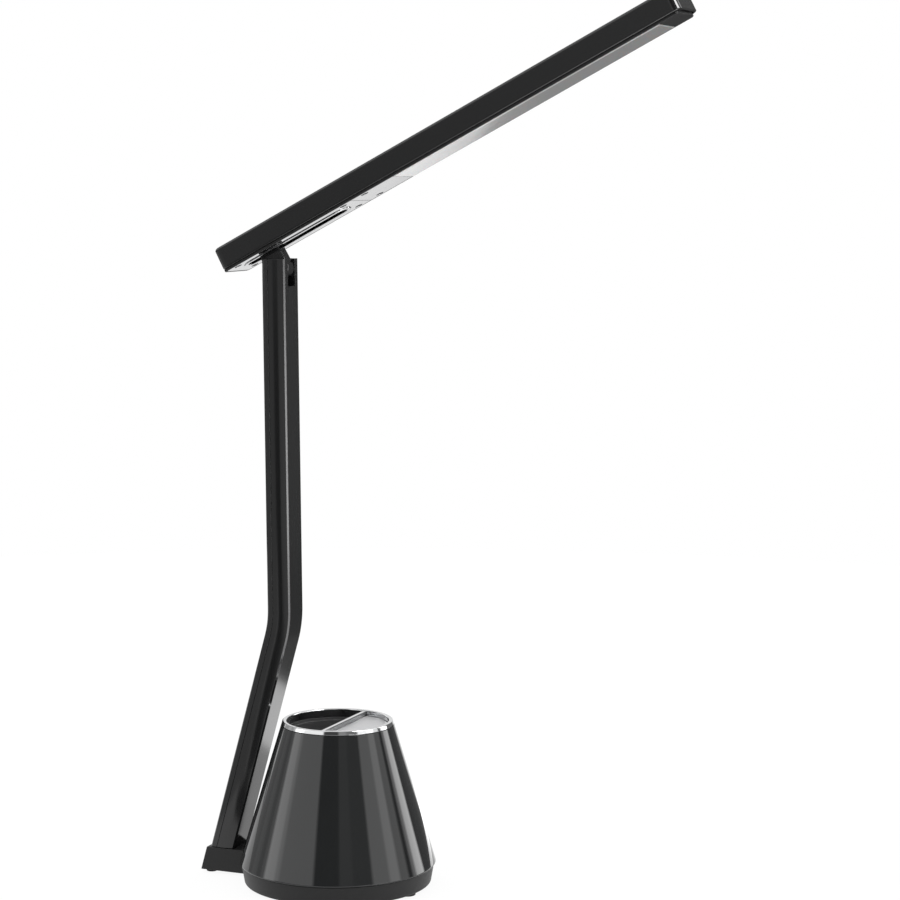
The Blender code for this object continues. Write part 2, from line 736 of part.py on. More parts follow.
def build_arm(root, finish):
    """The front moulding with its spigot and the open slot at its top."""
    outline = arm_outline(ARM_SPLIT + SEAT_GAP / 2, ARM_DEPTH)
    loops = spigot_loops() + sweep(outline, arm_stations(arm_foot(), ARM_TOP))
    arm = loft("arm", loops, root, finish["satin_black"], smooth=True)
    combine(arm, build_channel("arm_channel", -OVERRUN, ARM_DEPTH - ARM_WALL, root), "DIFFERENCE")
    half = FRONT_SLOT_WIDTH / 2
    low = (HINGE_X, -half, HINGE_Z - FRONT_SLOT_DROP)
    combine(arm, box("front_slot", low, (HINGE_X + ARM_DEPTH, half, ARM_TOP + OVERRUN), root), "DIFFERENCE")
    cut_pin_holes(arm, root)
    return arm


def build_arm_cover(root, finish):
    """The strip that closes the arm's rear, notched at the top for the neck."""
    outline = arm_outline(0.0, ARM_SPLIT - SEAT_GAP / 2)
    loops = sweep(outline, arm_stations(arm_foot(), ARM_TOP))
    cover = loft("arm_rear_cover", loops, root, finish["satin_black"], smooth=True)
    combine(cover, build_channel("cover_channel", ARM_WALL, ARM_DEPTH, root), "DIFFERENCE")
    half = FRONT_SLOT_WIDTH / 2
    low = (HINGE_X - ARM_DEPTH, -half, HINGE_Z - REAR_NOTCH_DROP)
    combine(cover, box("rear_notch", low, (HINGE_X, half, ARM_TOP + OVERRUN), root), "DIFFERENCE")


def cut_pin_holes(arm, root):
    """The hinge hole: blind in the near cheek, with a seat for the pin's head in the far one."""
    hole = cylinder("pin_hole", PIN_RADIUS + RUNNING_GAP, PIN_SKIN - CHEEK_HALF, CHEEK_HALF + OVERRUN, root)
    seat_low = CHEEK_HALF - PIN_HEAD_HEIGHT - SEAT_GAP
    seat = cylinder("pin_seat", PIN_HEAD_RADIUS + SEAT_GAP, seat_low, CHEEK_HALF + OVERRUN, root)
    for cutter in (hole, seat):
        lay_along_y(cutter).location = (HINGE_X, 0.0, HINGE_Z)
        combine(arm, cutter, "DIFFERENCE")


def build_hinge(root, finish):
    """The pin through the cheeks and the washers on both sides of the knuckle."""
    head_low = CHEEK_HALF - PIN_HEAD_HEIGHT
    profile = [
        (0.0, CHEEK_HALF),
        (PIN_HEAD_RADIUS, CHEEK_HALF),
        (PIN_HEAD_RADIUS, head_low),
        (PIN_RADIUS, head_low),
        (PIN_RADIUS, PIN_SKIN + SEAT_GAP - CHEEK_HALF),
        (0.0, PIN_SKIN + SEAT_GAP - CHEEK_HALF),
    ]
    pin = turned("hinge_pin", profile, root, finish["steel"])
    lay_along_y(pin).location = (HINGE_X, 0.0, HINGE_Z)
    bore = PIN_RADIUS + SEAT_GAP
    gap = (CHANNEL_WIDTH / 2 - NECK_WIDTH / 2 - WASHER_THICKNESS) / 2
    for number, side in enumerate((-1, 1), 1):
        low = NECK_WIDTH / 2 + gap if side > 0 else -CHANNEL_WIDTH / 2 + gap
        high = low + WASHER_THICKNESS
        ring = [(WASHER_RADIUS, high), (WASHER_RADIUS, low), (bore, low), (bore, high)]
        washer = turned(f"friction_washer_{number}", ring, root, finish["steel"], ring=True)
        lay_along_y(washer).location = (HINGE_X, 0.0, HINGE_Z)


# Neck


def build_neck(carrier, finish):
    """The lug: a knuckle on the pin that narrows into the slot; its top meets the carriage."""
    half = NECK_TOP_DEPTH / 2
    top = CARRIAGE_BOTTOM - SEAT_GAP
    span = math.hypot(half, top)
    touch = math.atan2(top, half) - math.acos(KNUCKLE_RADIUS / span)
    side = [(half, top)]
    for step in range(KNUCKLE_STEPS + 1):
        angle = touch - (math.pi + 2 * touch) * step / KNUCKLE_STEPS
        side.append((KNUCKLE_RADIUS * math.cos(angle), KNUCKLE_RADIUS * math.sin(angle)))
    side.append((-half, top))
    loops = [[(x, y, z) for x, z in side] for y in (-NECK_WIDTH / 2, NECK_WIDTH / 2)]
    neck = loft("neck", loops, carrier, finish["satin_black"], smooth=True)
    soften(neck, NECK_EDGE, NECK_SOFT_ANGLE)
    reach = NECK_WIDTH / 2 + OVERRUN
    hole = cylinder("knuckle_hole", PIN_RADIUS + RUNNING_GAP, -reach, reach, carrier)
    return combine(neck, lay_along_y(hole), "DIFFERENCE")


def build_carriage(carrier, finish, neck):
    """The slider above the slot, the screws that hold it, and the shoe that rubs on the housing."""
    low = (-CARRIAGE_LENGTH / 2, -CARRIAGE_WIDTH / 2, CARRIAGE_BOTTOM)
    high = (CARRIAGE_LENGTH / 2, CARRIAGE_WIDTH / 2, CARRIAGE_TOP)
    carriage = box("slide_carriage", low, high, carrier, finish["acetal"])
    soften(carriage, NECK_EDGE)
    for number, side in enumerate((-1, 1), 1):
        seat = (side * NECK_SCREW_SPACING / 2, 0.0, CARRIAGE_TOP - SCREW_HEAD_HEIGHT)
        name = f"carriage_screw_{number}"
        add_screw(name, NECK_SCREW_LENGTH, carrier, finish["steel"], seat, (carriage, neck), True)
    low = (-SHOE_LENGTH / 2, -SHOE_WIDTH / 2, CARRIAGE_TOP + SEAT_GAP)
    high = (SHOE_LENGTH / 2, SHOE_WIDTH / 2, CEILING - SEAT_GAP)
    soften(box("slide_shoe", low, high, carrier, finish["acetal"]), SEAT_GAP)


# Head


def head_outline(inset, back_inset=None, front_inset=None):
    """The head's plan outline, drawn in by an inset at the sides and by others at the two ends."""
    back = inset if back_inset is None else back_inset
    front = inset if front_inset is None else front_inset
    corner = max(HEAD_CORNER - inset, SEAT_GAP)
    return rounded_outline(back - HEAD_BACK, HEAD_FRONT - front, HEAD_HALF - inset, corner)


def build_housing(head, finish):
    """The long shell, open below, with a boss for each cover screw."""
    shoulder = HEAD_TOP_EDGE * SHOULDER_SHARE
    loops = [
        at_height(head_outline(HEAD_TOP_EDGE), HEAD_TOP),
        at_height(head_outline(shoulder), HEAD_TOP - shoulder),
        at_height(head_outline(0.0), HEAD_TOP - HEAD_TOP_EDGE),
        at_height(head_outline(0.0), LIP_TOP + HEAD_LOW_EDGE),
        at_height(head_outline(HEAD_LOW_EDGE), LIP_TOP),
        at_height(head_outline(HEAD_WALL), LIP_TOP),
        at_height(head_outline(HEAD_WALL), CEILING),
    ]
    housing = loft("head_housing", loops, head, finish["satin_black"])
    for name, x, y in cover_screw_places():
        low = COVER_INSIDE + SEAT_GAP
        high = HEAD_TOP - HEAD_WALL / 2
        boss = cylinder(f"{name}_boss", HEAD_BOSS_RADIUS, low, high, head, None, (x, y, 0.0), TINY_STEPS)
        combine(housing, boss, "UNION")
    return housing


def cover_screw_places():
    """The six screws under the head: name, x and y."""
    places = []
    for x in (COVER_SCREW_BACK, COVER_SCREW_MIDDLE, COVER_SCREW_FRONT):
        for y in (-COVER_SCREW_Y, COVER_SCREW_Y):
            places.append((f"cover_screw_{len(places) + 1}", x, y))
    return places


def build_frame(head, finish):
    """The inset frame below the housing: a lip all round, a tongue up inside, and a closed tip."""
    tongue_top = LIP_TOP + TONGUE_HEIGHT
    tongue = HEAD_WALL + SEAT_GAP
    back = COVER_BACK - SEAT_GAP
    ledge = COVER_INSIDE + SEAT_GAP
    front = DIFFUSER_FRONT + SEAT_GAP
    opening = rounded_outline(back, front, COVER_HALF + SEAT_GAP, COVER_CORNER, 0.0)
    ledge_back = tongue + TONGUE_WALL - HEAD_BACK
    inside = rounded_outline(ledge_back, front, HEAD_HALF - tongue - TONGUE_WALL, COVER_CORNER, 0.0)
    lip = head_outline(LIP_INSET, LIP_BACK_INSET, LIP_FRONT_INSET)
    face = head_outline(LIP_INSET + LIP_EDGE, LIP_BACK_INSET + LIP_EDGE, LIP_FRONT_INSET + LIP_EDGE)
    wall = head_outline(tongue, tongue, LIP_FRONT_INSET)
    loops = [
        at_height(lip, NECK_RISE + LIP_EDGE),
        at_height(lip, LIP_TOP - SEAT_GAP),
        at_height(wall, LIP_TOP - SEAT_GAP),
        at_height(wall, tongue_top),
        at_height(inside, tongue_top),
        at_height(inside, ledge),
        at_height(opening, ledge),
        at_height(opening, NECK_RISE),
        at_height(face, NECK_RISE),
    ]
    return loft("lower_frame", loops, head, finish["matte_black"], closed=True)


def slab(name, outline, low, high, parent, material=None):
    """A flat plate of an outline between two heights."""
    return loft(name, [at_height(outline, low), at_height(outline, high)], parent, material)


def slot_outline(grow):
    """The slot's outline with rounded ends, grown outwards."""
    half = SLOT_WIDTH / 2 + grow
    return rounded_outline(-SLOT_BACK - grow, SLOT_FRONT + grow, half, half, steps=2 * CORNER_STEPS)


def build_covers(head, finish, housing):
    """The root cover with the slot's opening, the board cover, and the screws that hold both."""
    outline = rounded_outline(COVER_BACK, SEAM_X - SEAT_GAP / 2, COVER_HALF, COVER_CORNER, 0.0)
    root_cover = slab("root_cover", outline, NECK_RISE, COVER_INSIDE, head, finish["bright_silver"])
    opening = slot_outline(SLOT_RIM_WIDTH + SEAT_GAP)
    cutter = slab("slot_opening", opening, NECK_RISE - OVERRUN, COVER_INSIDE + OVERRUN, head)
    combine(root_cover, cutter, "DIFFERENCE")
    low = (SEAM_X + SEAT_GAP / 2, -COVER_HALF, NECK_RISE)
    high = (DIFFUSER_BACK - SEAT_GAP, COVER_HALF, COVER_INSIDE)
    board_cover = box("board_cover", low, high, head, finish["bright_silver"])
    for name, x, y in cover_screw_places():
        seat = (x, y, NECK_RISE + COVER_SCREW_DROP + SCREW_HEAD_HEIGHT)
        plate = root_cover if x < SEAM_X else board_cover
        add_screw(name, COVER_SCREW_LENGTH, head, finish["dark_steel"], seat, (plate, housing))


def build_slot_rim(head, finish):
    """The raised rim round the slot, with a flange behind the cover."""
    flange = COVER_INSIDE + SEAT_GAP
    loops = [
        at_height(slot_outline(0.0), NECK_RISE - SLOT_RIM_PROUD),
        at_height(slot_outline(SLOT_RIM_WIDTH), NECK_RISE - SLOT_RIM_PROUD),
        at_height(slot_outline(SLOT_RIM_WIDTH), flange),
        at_height(slot_outline(SLOT_RIM_WIDTH + SLOT_FLANGE), flange),
        at_height(slot_outline(SLOT_RIM_WIDTH + SLOT_FLANGE), FLANGE_TOP),
        at_height(slot_outline(0.0), FLANGE_TOP),
    ]
    loft("slot_rim", loops, head, finish["bright_silver"], closed=True)


def build_diffuser(head, finish):
    """The bevelled opal strip, clipped in the frame a little proud of the covers."""
    half = COVER_HALF
    outer = NECK_RISE - DIFFUSER_PROUD
    bevel = DIFFUSER_BEVEL
    square = [(DIFFUSER_BACK, -half), (DIFFUSER_FRONT, -half), (DIFFUSER_FRONT, half), (DIFFUSER_BACK, half)]
    face = [
        (DIFFUSER_BACK + bevel, bevel - half),
        (DIFFUSER_FRONT - bevel, bevel - half),
        (DIFFUSER_FRONT - bevel, half - bevel),
        (DIFFUSER_BACK + bevel, half - bevel),
    ]
    loops = [at_height(face, outer), at_height(square, outer + bevel / 2), at_height(square, COVER_INSIDE)]
    loft("diffuser", loops, head, finish["opal"])


def build_led_board(head, finish):
    """The board on the housing's ceiling, with its LEDs standing down from it."""
    half = HEAD_HALF - HEAD_WALL - SEAT_GAP - TONGUE_WALL - LED_BOARD_MARGIN
    top = CEILING - SEAT_GAP
    bottom = top - LED_BOARD_THICKNESS
    back = DIFFUSER_BACK + LED_BOARD_MARGIN
    front = DIFFUSER_FRONT - LED_BOARD_MARGIN
    shape = bmesh.new()
    board_low = Vector((back, -half, bottom))
    board_high = Vector((front, half, top))
    add_block(shape, board_low, board_high)
    board = add_object("led_board", finish_mesh("led_board", shape, False), head, finish["board"])
    chips = bmesh.new()
    for column in range(LED_COLUMNS):
        centre_x = back + (front - back) * (column + 0.5) / LED_COLUMNS
        for row in range(LED_ROWS):
            centre_y = half * ((row + 0.5) / LED_ROWS * 2.0 - 1.0)
            low = Vector((centre_x - LED_SIZE / 2, centre_y - LED_SIZE / 2, bottom - LED_HEIGHT))
            high = Vector((centre_x + LED_SIZE / 2, centre_y + LED_SIZE / 2, bottom + LED_HEIGHT / 2))
            add_block(chips, low, high)
    combine(board, add_object("led_chips", finish_mesh("led_chips", chips, False), head), "UNION")


def add_block(shape, low, high):
    """Add a box between two corners to a bmesh."""
    size = high - low
    place = Matrix.Translation((low + high) / 2) @ Matrix.Diagonal((*size, 1.0))
    bmesh.ops.create_cube(shape, size=1.0, matrix=place)


# Placement


def centre_lamp(root):
    """Move the lamp so that the middle of its bounding box's underside is the origin."""
    bpy.context.view_layer.update()
    graph = bpy.context.evaluated_depsgraph_get()
    reach = []
    for found in bpy.data.objects:
        if found.type != "MESH" or found.hide_render:
            continue
        solid = found.evaluated_get(graph)
        reach += [(solid.matrix_world @ Vector(corner)).x for corner in solid.bound_box]
    root.location.x = -(min(reach) + max(reach)) / 2


def main():
    """Build the lamp in the pose of the photograph."""
    clear_scene()
    finish = make_materials()
    root = add_empty("lamp")
    cup = build_cup(root, finish)
    build_ring(root, finish)
    build_insert(root, finish)
    build_mouth_trim(root, finish)
    dish = build_base(root, finish)
    arm = build_arm(root, finish)
    build_arm_cover(root, finish)
    build_base_parts(root, finish, cup, dish, arm)
    build_hinge(root, finish)
    tilt = add_empty("head_tilt", root, (HINGE_X, 0.0, HINGE_Z), -math.radians(HEAD_ANGLE))
    neck = build_neck(tilt, finish)
    build_carriage(tilt, finish, neck)
    slide = add_empty("head_slide", tilt)
    housing = build_housing(slide, finish)
    build_frame(slide, finish)
    build_covers(slide, finish, housing)
    build_slot_rim(slide, finish)
    build_diffuser(slide, finish)
    build_led_board(slide, finish)
    centre_lamp(root)


main()
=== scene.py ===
"""Fine surfaces, finishes and studio light for an LED desk lamp with a pen cup.

The file is laid out as an add-on and run as a script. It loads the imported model, covers its main nodes with smooth
surfaces computed by numpy, gives every other visible node a finish, and sets up the stage and the camera.
Lengths are in metres and angles in degrees.
"""

import json
import math

import bmesh
import bpy
import numpy as np
from bpy.props import FloatProperty, FloatVectorProperty, PointerProperty
from mathutils import Matrix, Vector


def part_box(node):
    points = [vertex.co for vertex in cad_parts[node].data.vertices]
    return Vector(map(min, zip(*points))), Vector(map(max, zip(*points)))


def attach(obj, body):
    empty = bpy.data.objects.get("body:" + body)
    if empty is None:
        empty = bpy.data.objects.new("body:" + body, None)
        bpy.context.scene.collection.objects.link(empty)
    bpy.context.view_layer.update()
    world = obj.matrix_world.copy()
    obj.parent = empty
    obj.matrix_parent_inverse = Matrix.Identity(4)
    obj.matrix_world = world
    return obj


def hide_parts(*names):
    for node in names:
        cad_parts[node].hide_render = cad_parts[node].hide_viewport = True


bl_info = {
    "name": "LED Desk Lamp",
    "version": (1, 0, 0),
    "blender": (4, 5, 0),
    "location": "3D View > Sidebar > Desk Lamp",
    "description": "Fine surfaces, finishes and studio light for a desk lamp with a pen cup",
    "category": "Object",
}

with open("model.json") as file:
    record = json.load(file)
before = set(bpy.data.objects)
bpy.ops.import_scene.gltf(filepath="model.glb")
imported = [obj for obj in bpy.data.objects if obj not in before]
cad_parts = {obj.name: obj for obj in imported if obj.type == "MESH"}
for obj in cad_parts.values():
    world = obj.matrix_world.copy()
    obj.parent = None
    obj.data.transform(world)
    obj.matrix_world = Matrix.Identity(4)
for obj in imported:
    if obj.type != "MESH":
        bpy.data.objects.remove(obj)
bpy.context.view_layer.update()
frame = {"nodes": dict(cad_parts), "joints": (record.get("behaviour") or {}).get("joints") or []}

# Facets of a round shape, a small one, a rounded edge, a corner in plan, the arm's bend and side, and an arc
TURNS = 224
SMALL_TURNS = 48
EDGE_STEPS = 6
CORNER_STEPS = 12
BEND_STEPS = 28
SIDE_STEPS = 10
ARC_STEPS = 96

# How near points count as one, the flat kept beside a rounded edge, the angle that stays a sharp edge, and the
# roundings of fine edges and of small tips
WELD = 2e-7
FLAT = 0.0003
SHARP_ANGLE = 42.0
FINE_ROUND = 0.00012
TIP_ROUND = 0.0003

# The gap round a piece that sits in another, where the flat end of a turned piece begins as a share of its radius, and
# how much of the shorter edge beside a corner its rounding may take
CLEARANCE = 0.0003
CORE_SHARE = 0.3
ROOM_SHARE = 0.45
BEVEL_SAMPLES = 6

WHITE = (1.0, 1.0, 1.0, 1.0)


# Places


class Basis:
    """An origin and three unit axes: a local point (a, b, c) lies at origin + a * x + b * y + c * z."""

    def __init__(self, origin, x, z):
        self.origin = np.asarray(origin, float)
        x = np.asarray(x, float)
        z = np.asarray(z, float)
        x = x / np.linalg.norm(x)
        z = z / np.linalg.norm(z)
        self.axes = np.array([x, np.cross(z, x), z])

    def world(self, points):
        """Local points carried into the world."""
        return self.origin + np.asarray(points, float) @ self.axes

    def local(self, points):
        """World points seen from this basis."""
        return (np.asarray(points, float) - self.origin) @ self.axes.T

    def at(self, point, x=None, z=None):
        """A basis at a local point, with new local axes where they are given."""
        new_x = self.axes[0] if x is None else np.asarray(x, float) @ self.axes
        new_z = self.axes[2] if z is None else np.asarray(z, float) @ self.axes
        return Basis(self.world(point), new_x, new_z)


def node_points(node, basis):
    """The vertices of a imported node, seen from a basis."""
    mesh = frame["nodes"][node].data
    points = np.empty(len(mesh.vertices) * 3, np.float32)
    mesh.vertices.foreach_get("co", points)
    return basis.local(points.reshape(-1, 3))


def extent(node, basis):
    """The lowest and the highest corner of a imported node, seen from a basis."""
    points = node_points(node, basis)
    return points.min(0), points.max(0)


def joint(name):
    """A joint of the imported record."""
    return next(found for found in frame["joints"] if found["name"] == name)


CUP_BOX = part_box("cup_shell")
HINGE = np.array(joint("head_tilt")["pos_m"], float)
HEAD_AXIS = np.array(joint("head_slide")["axis"], float)
ACROSS = np.array([0.0, 1.0, 0.0])
UP = np.array([0.0, 0.0, 1.0])
CUP = Basis(((CUP_BOX[0].x + CUP_BOX[1].x) / 2, 0.0, 0.0), (1.0, 0.0, 0.0), UP)
HEAD = Basis(HINGE, HEAD_AXIS, np.cross(HEAD_AXIS, ACROSS))


# Profiles and grids


def unit(vectors):
    """Vectors brought to length one."""
    return vectors / np.linalg.norm(vectors, axis=-1, keepdims=True)


def rounded(corners, radii, steps=EDGE_STEPS, closed=True, flat=FLAT):
    """Round the corners of a polygon.

    At each corner the points are centre + radius * a unit vector that turns evenly from the normal of one edge to
    that of the next. One more point on each edge, a little way from the arc, keeps the flat beside it flat.
    """
    corners = np.asarray(corners, float)
    count = len(corners)
    radii = np.broadcast_to(np.asarray(radii, float), (count,))[:, None]
    inner = slice(None) if closed else slice(1, -1)
    before = (np.roll(corners, 1, 0) - corners)[inner]
    after = (np.roll(corners, -1, 0) - corners)[inner]
    here, radii = corners[inner], radii[inner]
    room = ROOM_SHARE * np.minimum(np.linalg.norm(before, axis=1), np.linalg.norm(after, axis=1))[:, None]
    before, after = unit(before), unit(after)
    half = np.arccos(np.clip((before * after).sum(1, keepdims=True), -1.0, 1.0)) / 2
    reach = np.minimum(radii / np.tan(half), room)
    radius = reach * np.tan(half)
    centre = here + unit(before + after) * radius / np.sin(half)
    turn = np.pi - 2 * half
    share = np.linspace(0.0, 1.0, steps + 1)[None, :, None]
    first = (here + before * reach - centre)[:, None, :]
    last = (here + after * reach - centre)[:, None, :]
    angle = turn[:, None, :]
    arc = centre[:, None, :] + (np.sin((1 - share) * angle) * first + np.sin(share * angle) * last) / np.sin(angle)
    spare = np.minimum(flat, room)
    lead = (here + before * (reach + spare))[:, None, :]
    tail = (here + after * (reach + spare))[:, None, :]
    points = np.concatenate([lead, arc, tail], axis=1).reshape(-1, corners.shape[1])
    return points if closed else np.concatenate([corners[:1], points, corners[-1:]])


def lathe(profile, turns=TURNS):
    """Turn a profile of (radius, height) about Z: the point is (radius cos a, radius sin a, height), a once round."""
    angle = np.linspace(0.0, 2 * np.pi, turns, endpoint=False)
    radius, height = profile[:, 0, None], profile[:, 1, None]
    return np.stack([radius * np.cos(angle), radius * np.sin(angle), height + 0 * angle], axis=-1)


def plan(back, front, half, corner, front_corner=None, steps=CORNER_STEPS):
    """The outline (x, y) of a rectangle with rounded corners, the front ones with a radius of their own."""
    ahead = corner if front_corner is None else front_corner
    corners = [(front, half), (back, half), (back, -half), (front, -half)]
    return rounded(corners, [ahead, corner, corner, ahead], steps, flat=2 * FLAT)


def inset_plan(low, high, corner, inset):
    """The outline of a box seen from above, drawn in by an inset."""
    return plan(low[0] + inset, high[0] - inset, high[1] - inset, max(corner - inset, FINE_ROUND))


def stadium(back, front, half):
    """The outline (x, y) of a slot with round ends: end centre +- half * (cos a, sin a), a half turn at each end."""
    angle = np.linspace(-np.pi / 2, np.pi / 2, 3 * CORNER_STEPS + 1)
    across, along = half * np.sin(angle), half * np.cos(angle)
    ahead = np.stack([front - half + along, across], axis=-1)
    behind = np.stack([back + half - along, -across], axis=-1)
    return np.concatenate([ahead, behind])


def segment(radius, chord, side, inset=0.0):
    """The outline (x, y) of the part of a disc beyond a chord along Y: even points on its arc, then on the chord."""
    arc_radius, line = radius - inset, side * chord + inset
    reach = math.acos(line / arc_radius)
    angle = reach * np.linspace(-1.0, 1.0, ARC_STEPS)
    arc = np.stack([side * arc_radius * np.cos(angle), arc_radius * np.sin(angle)], axis=-1)
    return np.concatenate([arc, arc[-1] + np.linspace(0.0, 1.0, ARC_STEPS)[1:-1, None] * (arc[0] - arc[-1])])


def disc_like(radius, chord, side):
    """The outline of a whole disc, in as many points as a segment's and in their order, so that the two join."""
    reach = math.acos(side * chord / radius)
    arc = reach * np.linspace(-1.0, 1.0, ARC_STEPS)
    rest = np.linspace(reach, 2 * np.pi - reach, ARC_STEPS)[1:-1]
    angle = np.concatenate([arc, rest])
    return np.stack([side * radius * np.cos(angle), radius * np.sin(angle)], axis=-1)


def stacked(outlines, heights):
    """A grid from outlines (x, y) laid one above the other: row i is outline i at height i."""
    levels = [np.column_stack([outline, np.full(len(outline), height)]) for outline, height in zip(outlines, heights)]
    return np.stack(levels)


def layered(profile, outline):
    """A grid from a profile of (inset, height): each row is the outline at that inset, laid at that height."""
    return stacked([outline(inset) for inset in profile[:, 0]], profile[:, 1])


def turned(basis, corners, radii, turns=TURNS):
    """A grid turned about the Z of a basis, from an open profile whose corners are rounded."""
    return basis.world(lathe(rounded(corners, radii, closed=False), turns))


def quads(rows, columns, ring=False, open_sides=False):
    """The cells of a grid as rows of four vertex numbers: columns close on themselves, and rows too in a ring."""
    row = np.arange(rows if ring else rows - 1)[:, None]
    column = np.arange(columns - 1 if open_sides else columns)[None, :]
    below, above = row * columns, (row + 1) % rows * columns
    after = (column + 1) % columns
    return np.stack([below + column, below + after, above + after, above + column], axis=-1).reshape(-1, 4)


def grid_mesh(name, grid, ring=False):
    """A closed mesh of a grid whose columns run round it: rows close in a ring, or the two end rows are capped."""
    rows, columns = grid.shape[:2]
    faces = quads(rows, columns, ring).tolist()
    if not ring:
        faces += [list(range(columns)), list(range((rows - 1) * columns, rows * columns))]
    return clean_mesh(name, grid.reshape(-1, 3), faces)


def clean_mesh(name, points, faces):
    """Vertices and faces as a welded mesh that faces outwards, smooth but for its sharp edges."""
    mesh = bpy.data.meshes.new(name)
    mesh.from_pydata(points.tolist(), [], faces)
    shape = bmesh.new()
    shape.from_mesh(mesh)
    bmesh.ops.remove_doubles(shape, verts=shape.verts, dist=WELD)
    bmesh.ops.dissolve_degenerate(shape, edges=shape.edges, dist=WELD)
    bmesh.ops.recalc_face_normals(shape, faces=shape.faces)
    shape.to_mesh(mesh)
    shape.free()
    mesh.shade_smooth()
    mesh.set_sharp_from_angle(angle=math.radians(SHARP_ANGLE))
    return mesh


# Pieces


def add_piece(name, mesh, body, slot, *nodes):
    """Link a mesh as a piece that rides on a body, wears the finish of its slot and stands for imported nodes."""
    piece = bpy.data.objects.new(name, mesh)
    bpy.context.scene.collection.objects.link(piece)
    mesh.materials.append(Finishes.get(slot))
    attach(piece, body)
    if nodes:
        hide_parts(*nodes)
    return piece


def cover(node, grid, body, slot, ring=False):
    """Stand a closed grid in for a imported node, as a fine piece."""
    name = f"{node}_fine"
    return add_piece(name, grid_mesh(name, grid, ring), body, slot, node)


def carve(piece, cutters):
    """Cut closed meshes out of a piece, and keep the result as its mesh."""
    helpers = []
    for number, mesh in enumerate(cutters):
        helper = bpy.data.objects.new(f"{piece.name}_cutter_{number}", mesh)
        bpy.context.scene.collection.objects.link(helper)
        helpers.append(helper)
        step = piece.modifiers.new(helper.name, "BOOLEAN")
        step.operation = "DIFFERENCE"
        step.solver = "EXACT"
        step.object = helper
    bpy.context.view_layer.update()
    graph = bpy.context.evaluated_depsgraph_get()
    cut = bpy.data.meshes.new_from_object(piece.evaluated_get(graph))
    piece.modifiers.clear()
    piece.data = cut
    for helper in helpers:
        bpy.data.objects.remove(helper)
    cut.shade_smooth()
    cut.set_sharp_from_angle(angle=math.radians(SHARP_ANGLE))


def soften(piece, width):
    """Round the sharp edges of a piece with a bevel."""
    bevel = piece.modifiers.new("Soft edges", "BEVEL")
    bevel.width = width
    bevel.segments = 2
    bevel.limit_method = "ANGLE"
    bevel.angle_limit = math.radians(SHARP_ANGLE)
    bevel.harden_normals = True


def disc(name, radius, low, high, basis, edge=FINE_ROUND, turns=SMALL_TURNS):
    """A cylinder with rounded rims along the Z of a basis, as a mesh."""
    core = radius * CORE_SHARE
    corners = [(core, low), (radius, low), (radius, high), (core, high)]
    return grid_mesh(name, turned(basis, corners, edge, turns))


# Shader nodes


class Socket:
    """An output socket whose arithmetic adds Math nodes."""

    def __init__(self, nodes, socket):
        self.nodes = nodes
        self.socket = socket

    def math(self, operation, *others):
        """One Math node with this socket and others, or plain numbers, as its inputs."""
        return self.nodes.math(operation, self, *others)

    def clipped(self):
        """This number kept between 0 and 1."""
        return self.math("MAXIMUM", 0.0).math("MINIMUM", 1.0)

    def step(self, first, last):
        """A number that goes from 0 to 1 while this one goes from first to last."""
        inputs = {"Value": self, "From Min": first, "From Max": last}
        return self.nodes.out("ShaderNodeMapRange", {"clamp": True}, inputs)

    def __add__(self, other):
        return self.math("ADD", other)

    def __sub__(self, other):
        return self.math("SUBTRACT", other)

    def __rsub__(self, other):
        return self.nodes.math("SUBTRACT", other, self)

    def __mul__(self, other):
        return self.math("MULTIPLY", other)

    def __truediv__(self, other):
        return self.math("DIVIDE", other)

    def __rtruediv__(self, other):
        return self.nodes.math("DIVIDE", other, self)

    __radd__ = __add__
    __rmul__ = __mul__


class Nodes:
    """The node tree of a material or a world, filled by one method."""

    def __init__(self, owner):
        owner.use_nodes = True
        self.tree = owner.node_tree

    def node(self, kind, settings=None, inputs=None):
        """Add a node: settings are set first, then each input gets its number, colour or link."""
        node = self.tree.nodes.new(kind)
        for key, value in (settings or {}).items():
            setattr(node, key, value)
        for key, value in (inputs or {}).items():
            if isinstance(value, Socket):
                self.tree.links.new(value.socket, node.inputs[key])
            else:
                node.inputs[key].default_value = value
        return node

    def out(self, kind, settings=None, inputs=None, output=0):
        """Add a node and give one of its outputs."""
        return Socket(self, self.node(kind, settings, inputs).outputs[output])

    def math(self, operation, *values):
        """Add a Math node."""
        return self.out("ShaderNodeMath", {"operation": operation}, dict(enumerate(values)))

    def place(self):
        """Object coordinates."""
        return self.out("ShaderNodeTexCoord", output="Object")

    def parts(self, vector):
        """The three numbers of a vector."""
        node = self.node("ShaderNodeSeparateXYZ", None, {0: vector})
        return [Socket(self, output) for output in node.outputs]

    def rays(self):
        """Whether a ray comes from the camera, from a polished surface, or through a clear one."""
        node = self.node("ShaderNodeLightPath")
        return [Socket(self, node.outputs[f"Is {kind} Ray"]) for kind in ("Camera", "Glossy", "Transmission")]

    def noise(self, scale, detail=2.0, stretch=None):
        """Noise from 0 to 1 with so many waves to the metre, drawn out along the axes by a stretch."""
        place = self.place()
        if stretch is not None:
            place = self.out("ShaderNodeMapping", None, {"Vector": place, "Scale": stretch})
        return self.out("ShaderNodeTexNoise", None, {"Vector": place, "Scale": scale, "Detail": detail})

    def mix(self, share, first, second):
        """A colour between two, by a share from 0 to 1: inputs 6 and 7 and output 2 are the Mix node's colours."""
        return self.out("ShaderNodeMix", {"data_type": "RGBA"}, {0: share, 6: first, 7: second}, 2)


def opaque(colour, share=1.0):
    """A colour with alpha, its light scaled by a share."""
    return (colour[0] * share, colour[1] * share, colour[2] * share, 1.0)


# Finishes

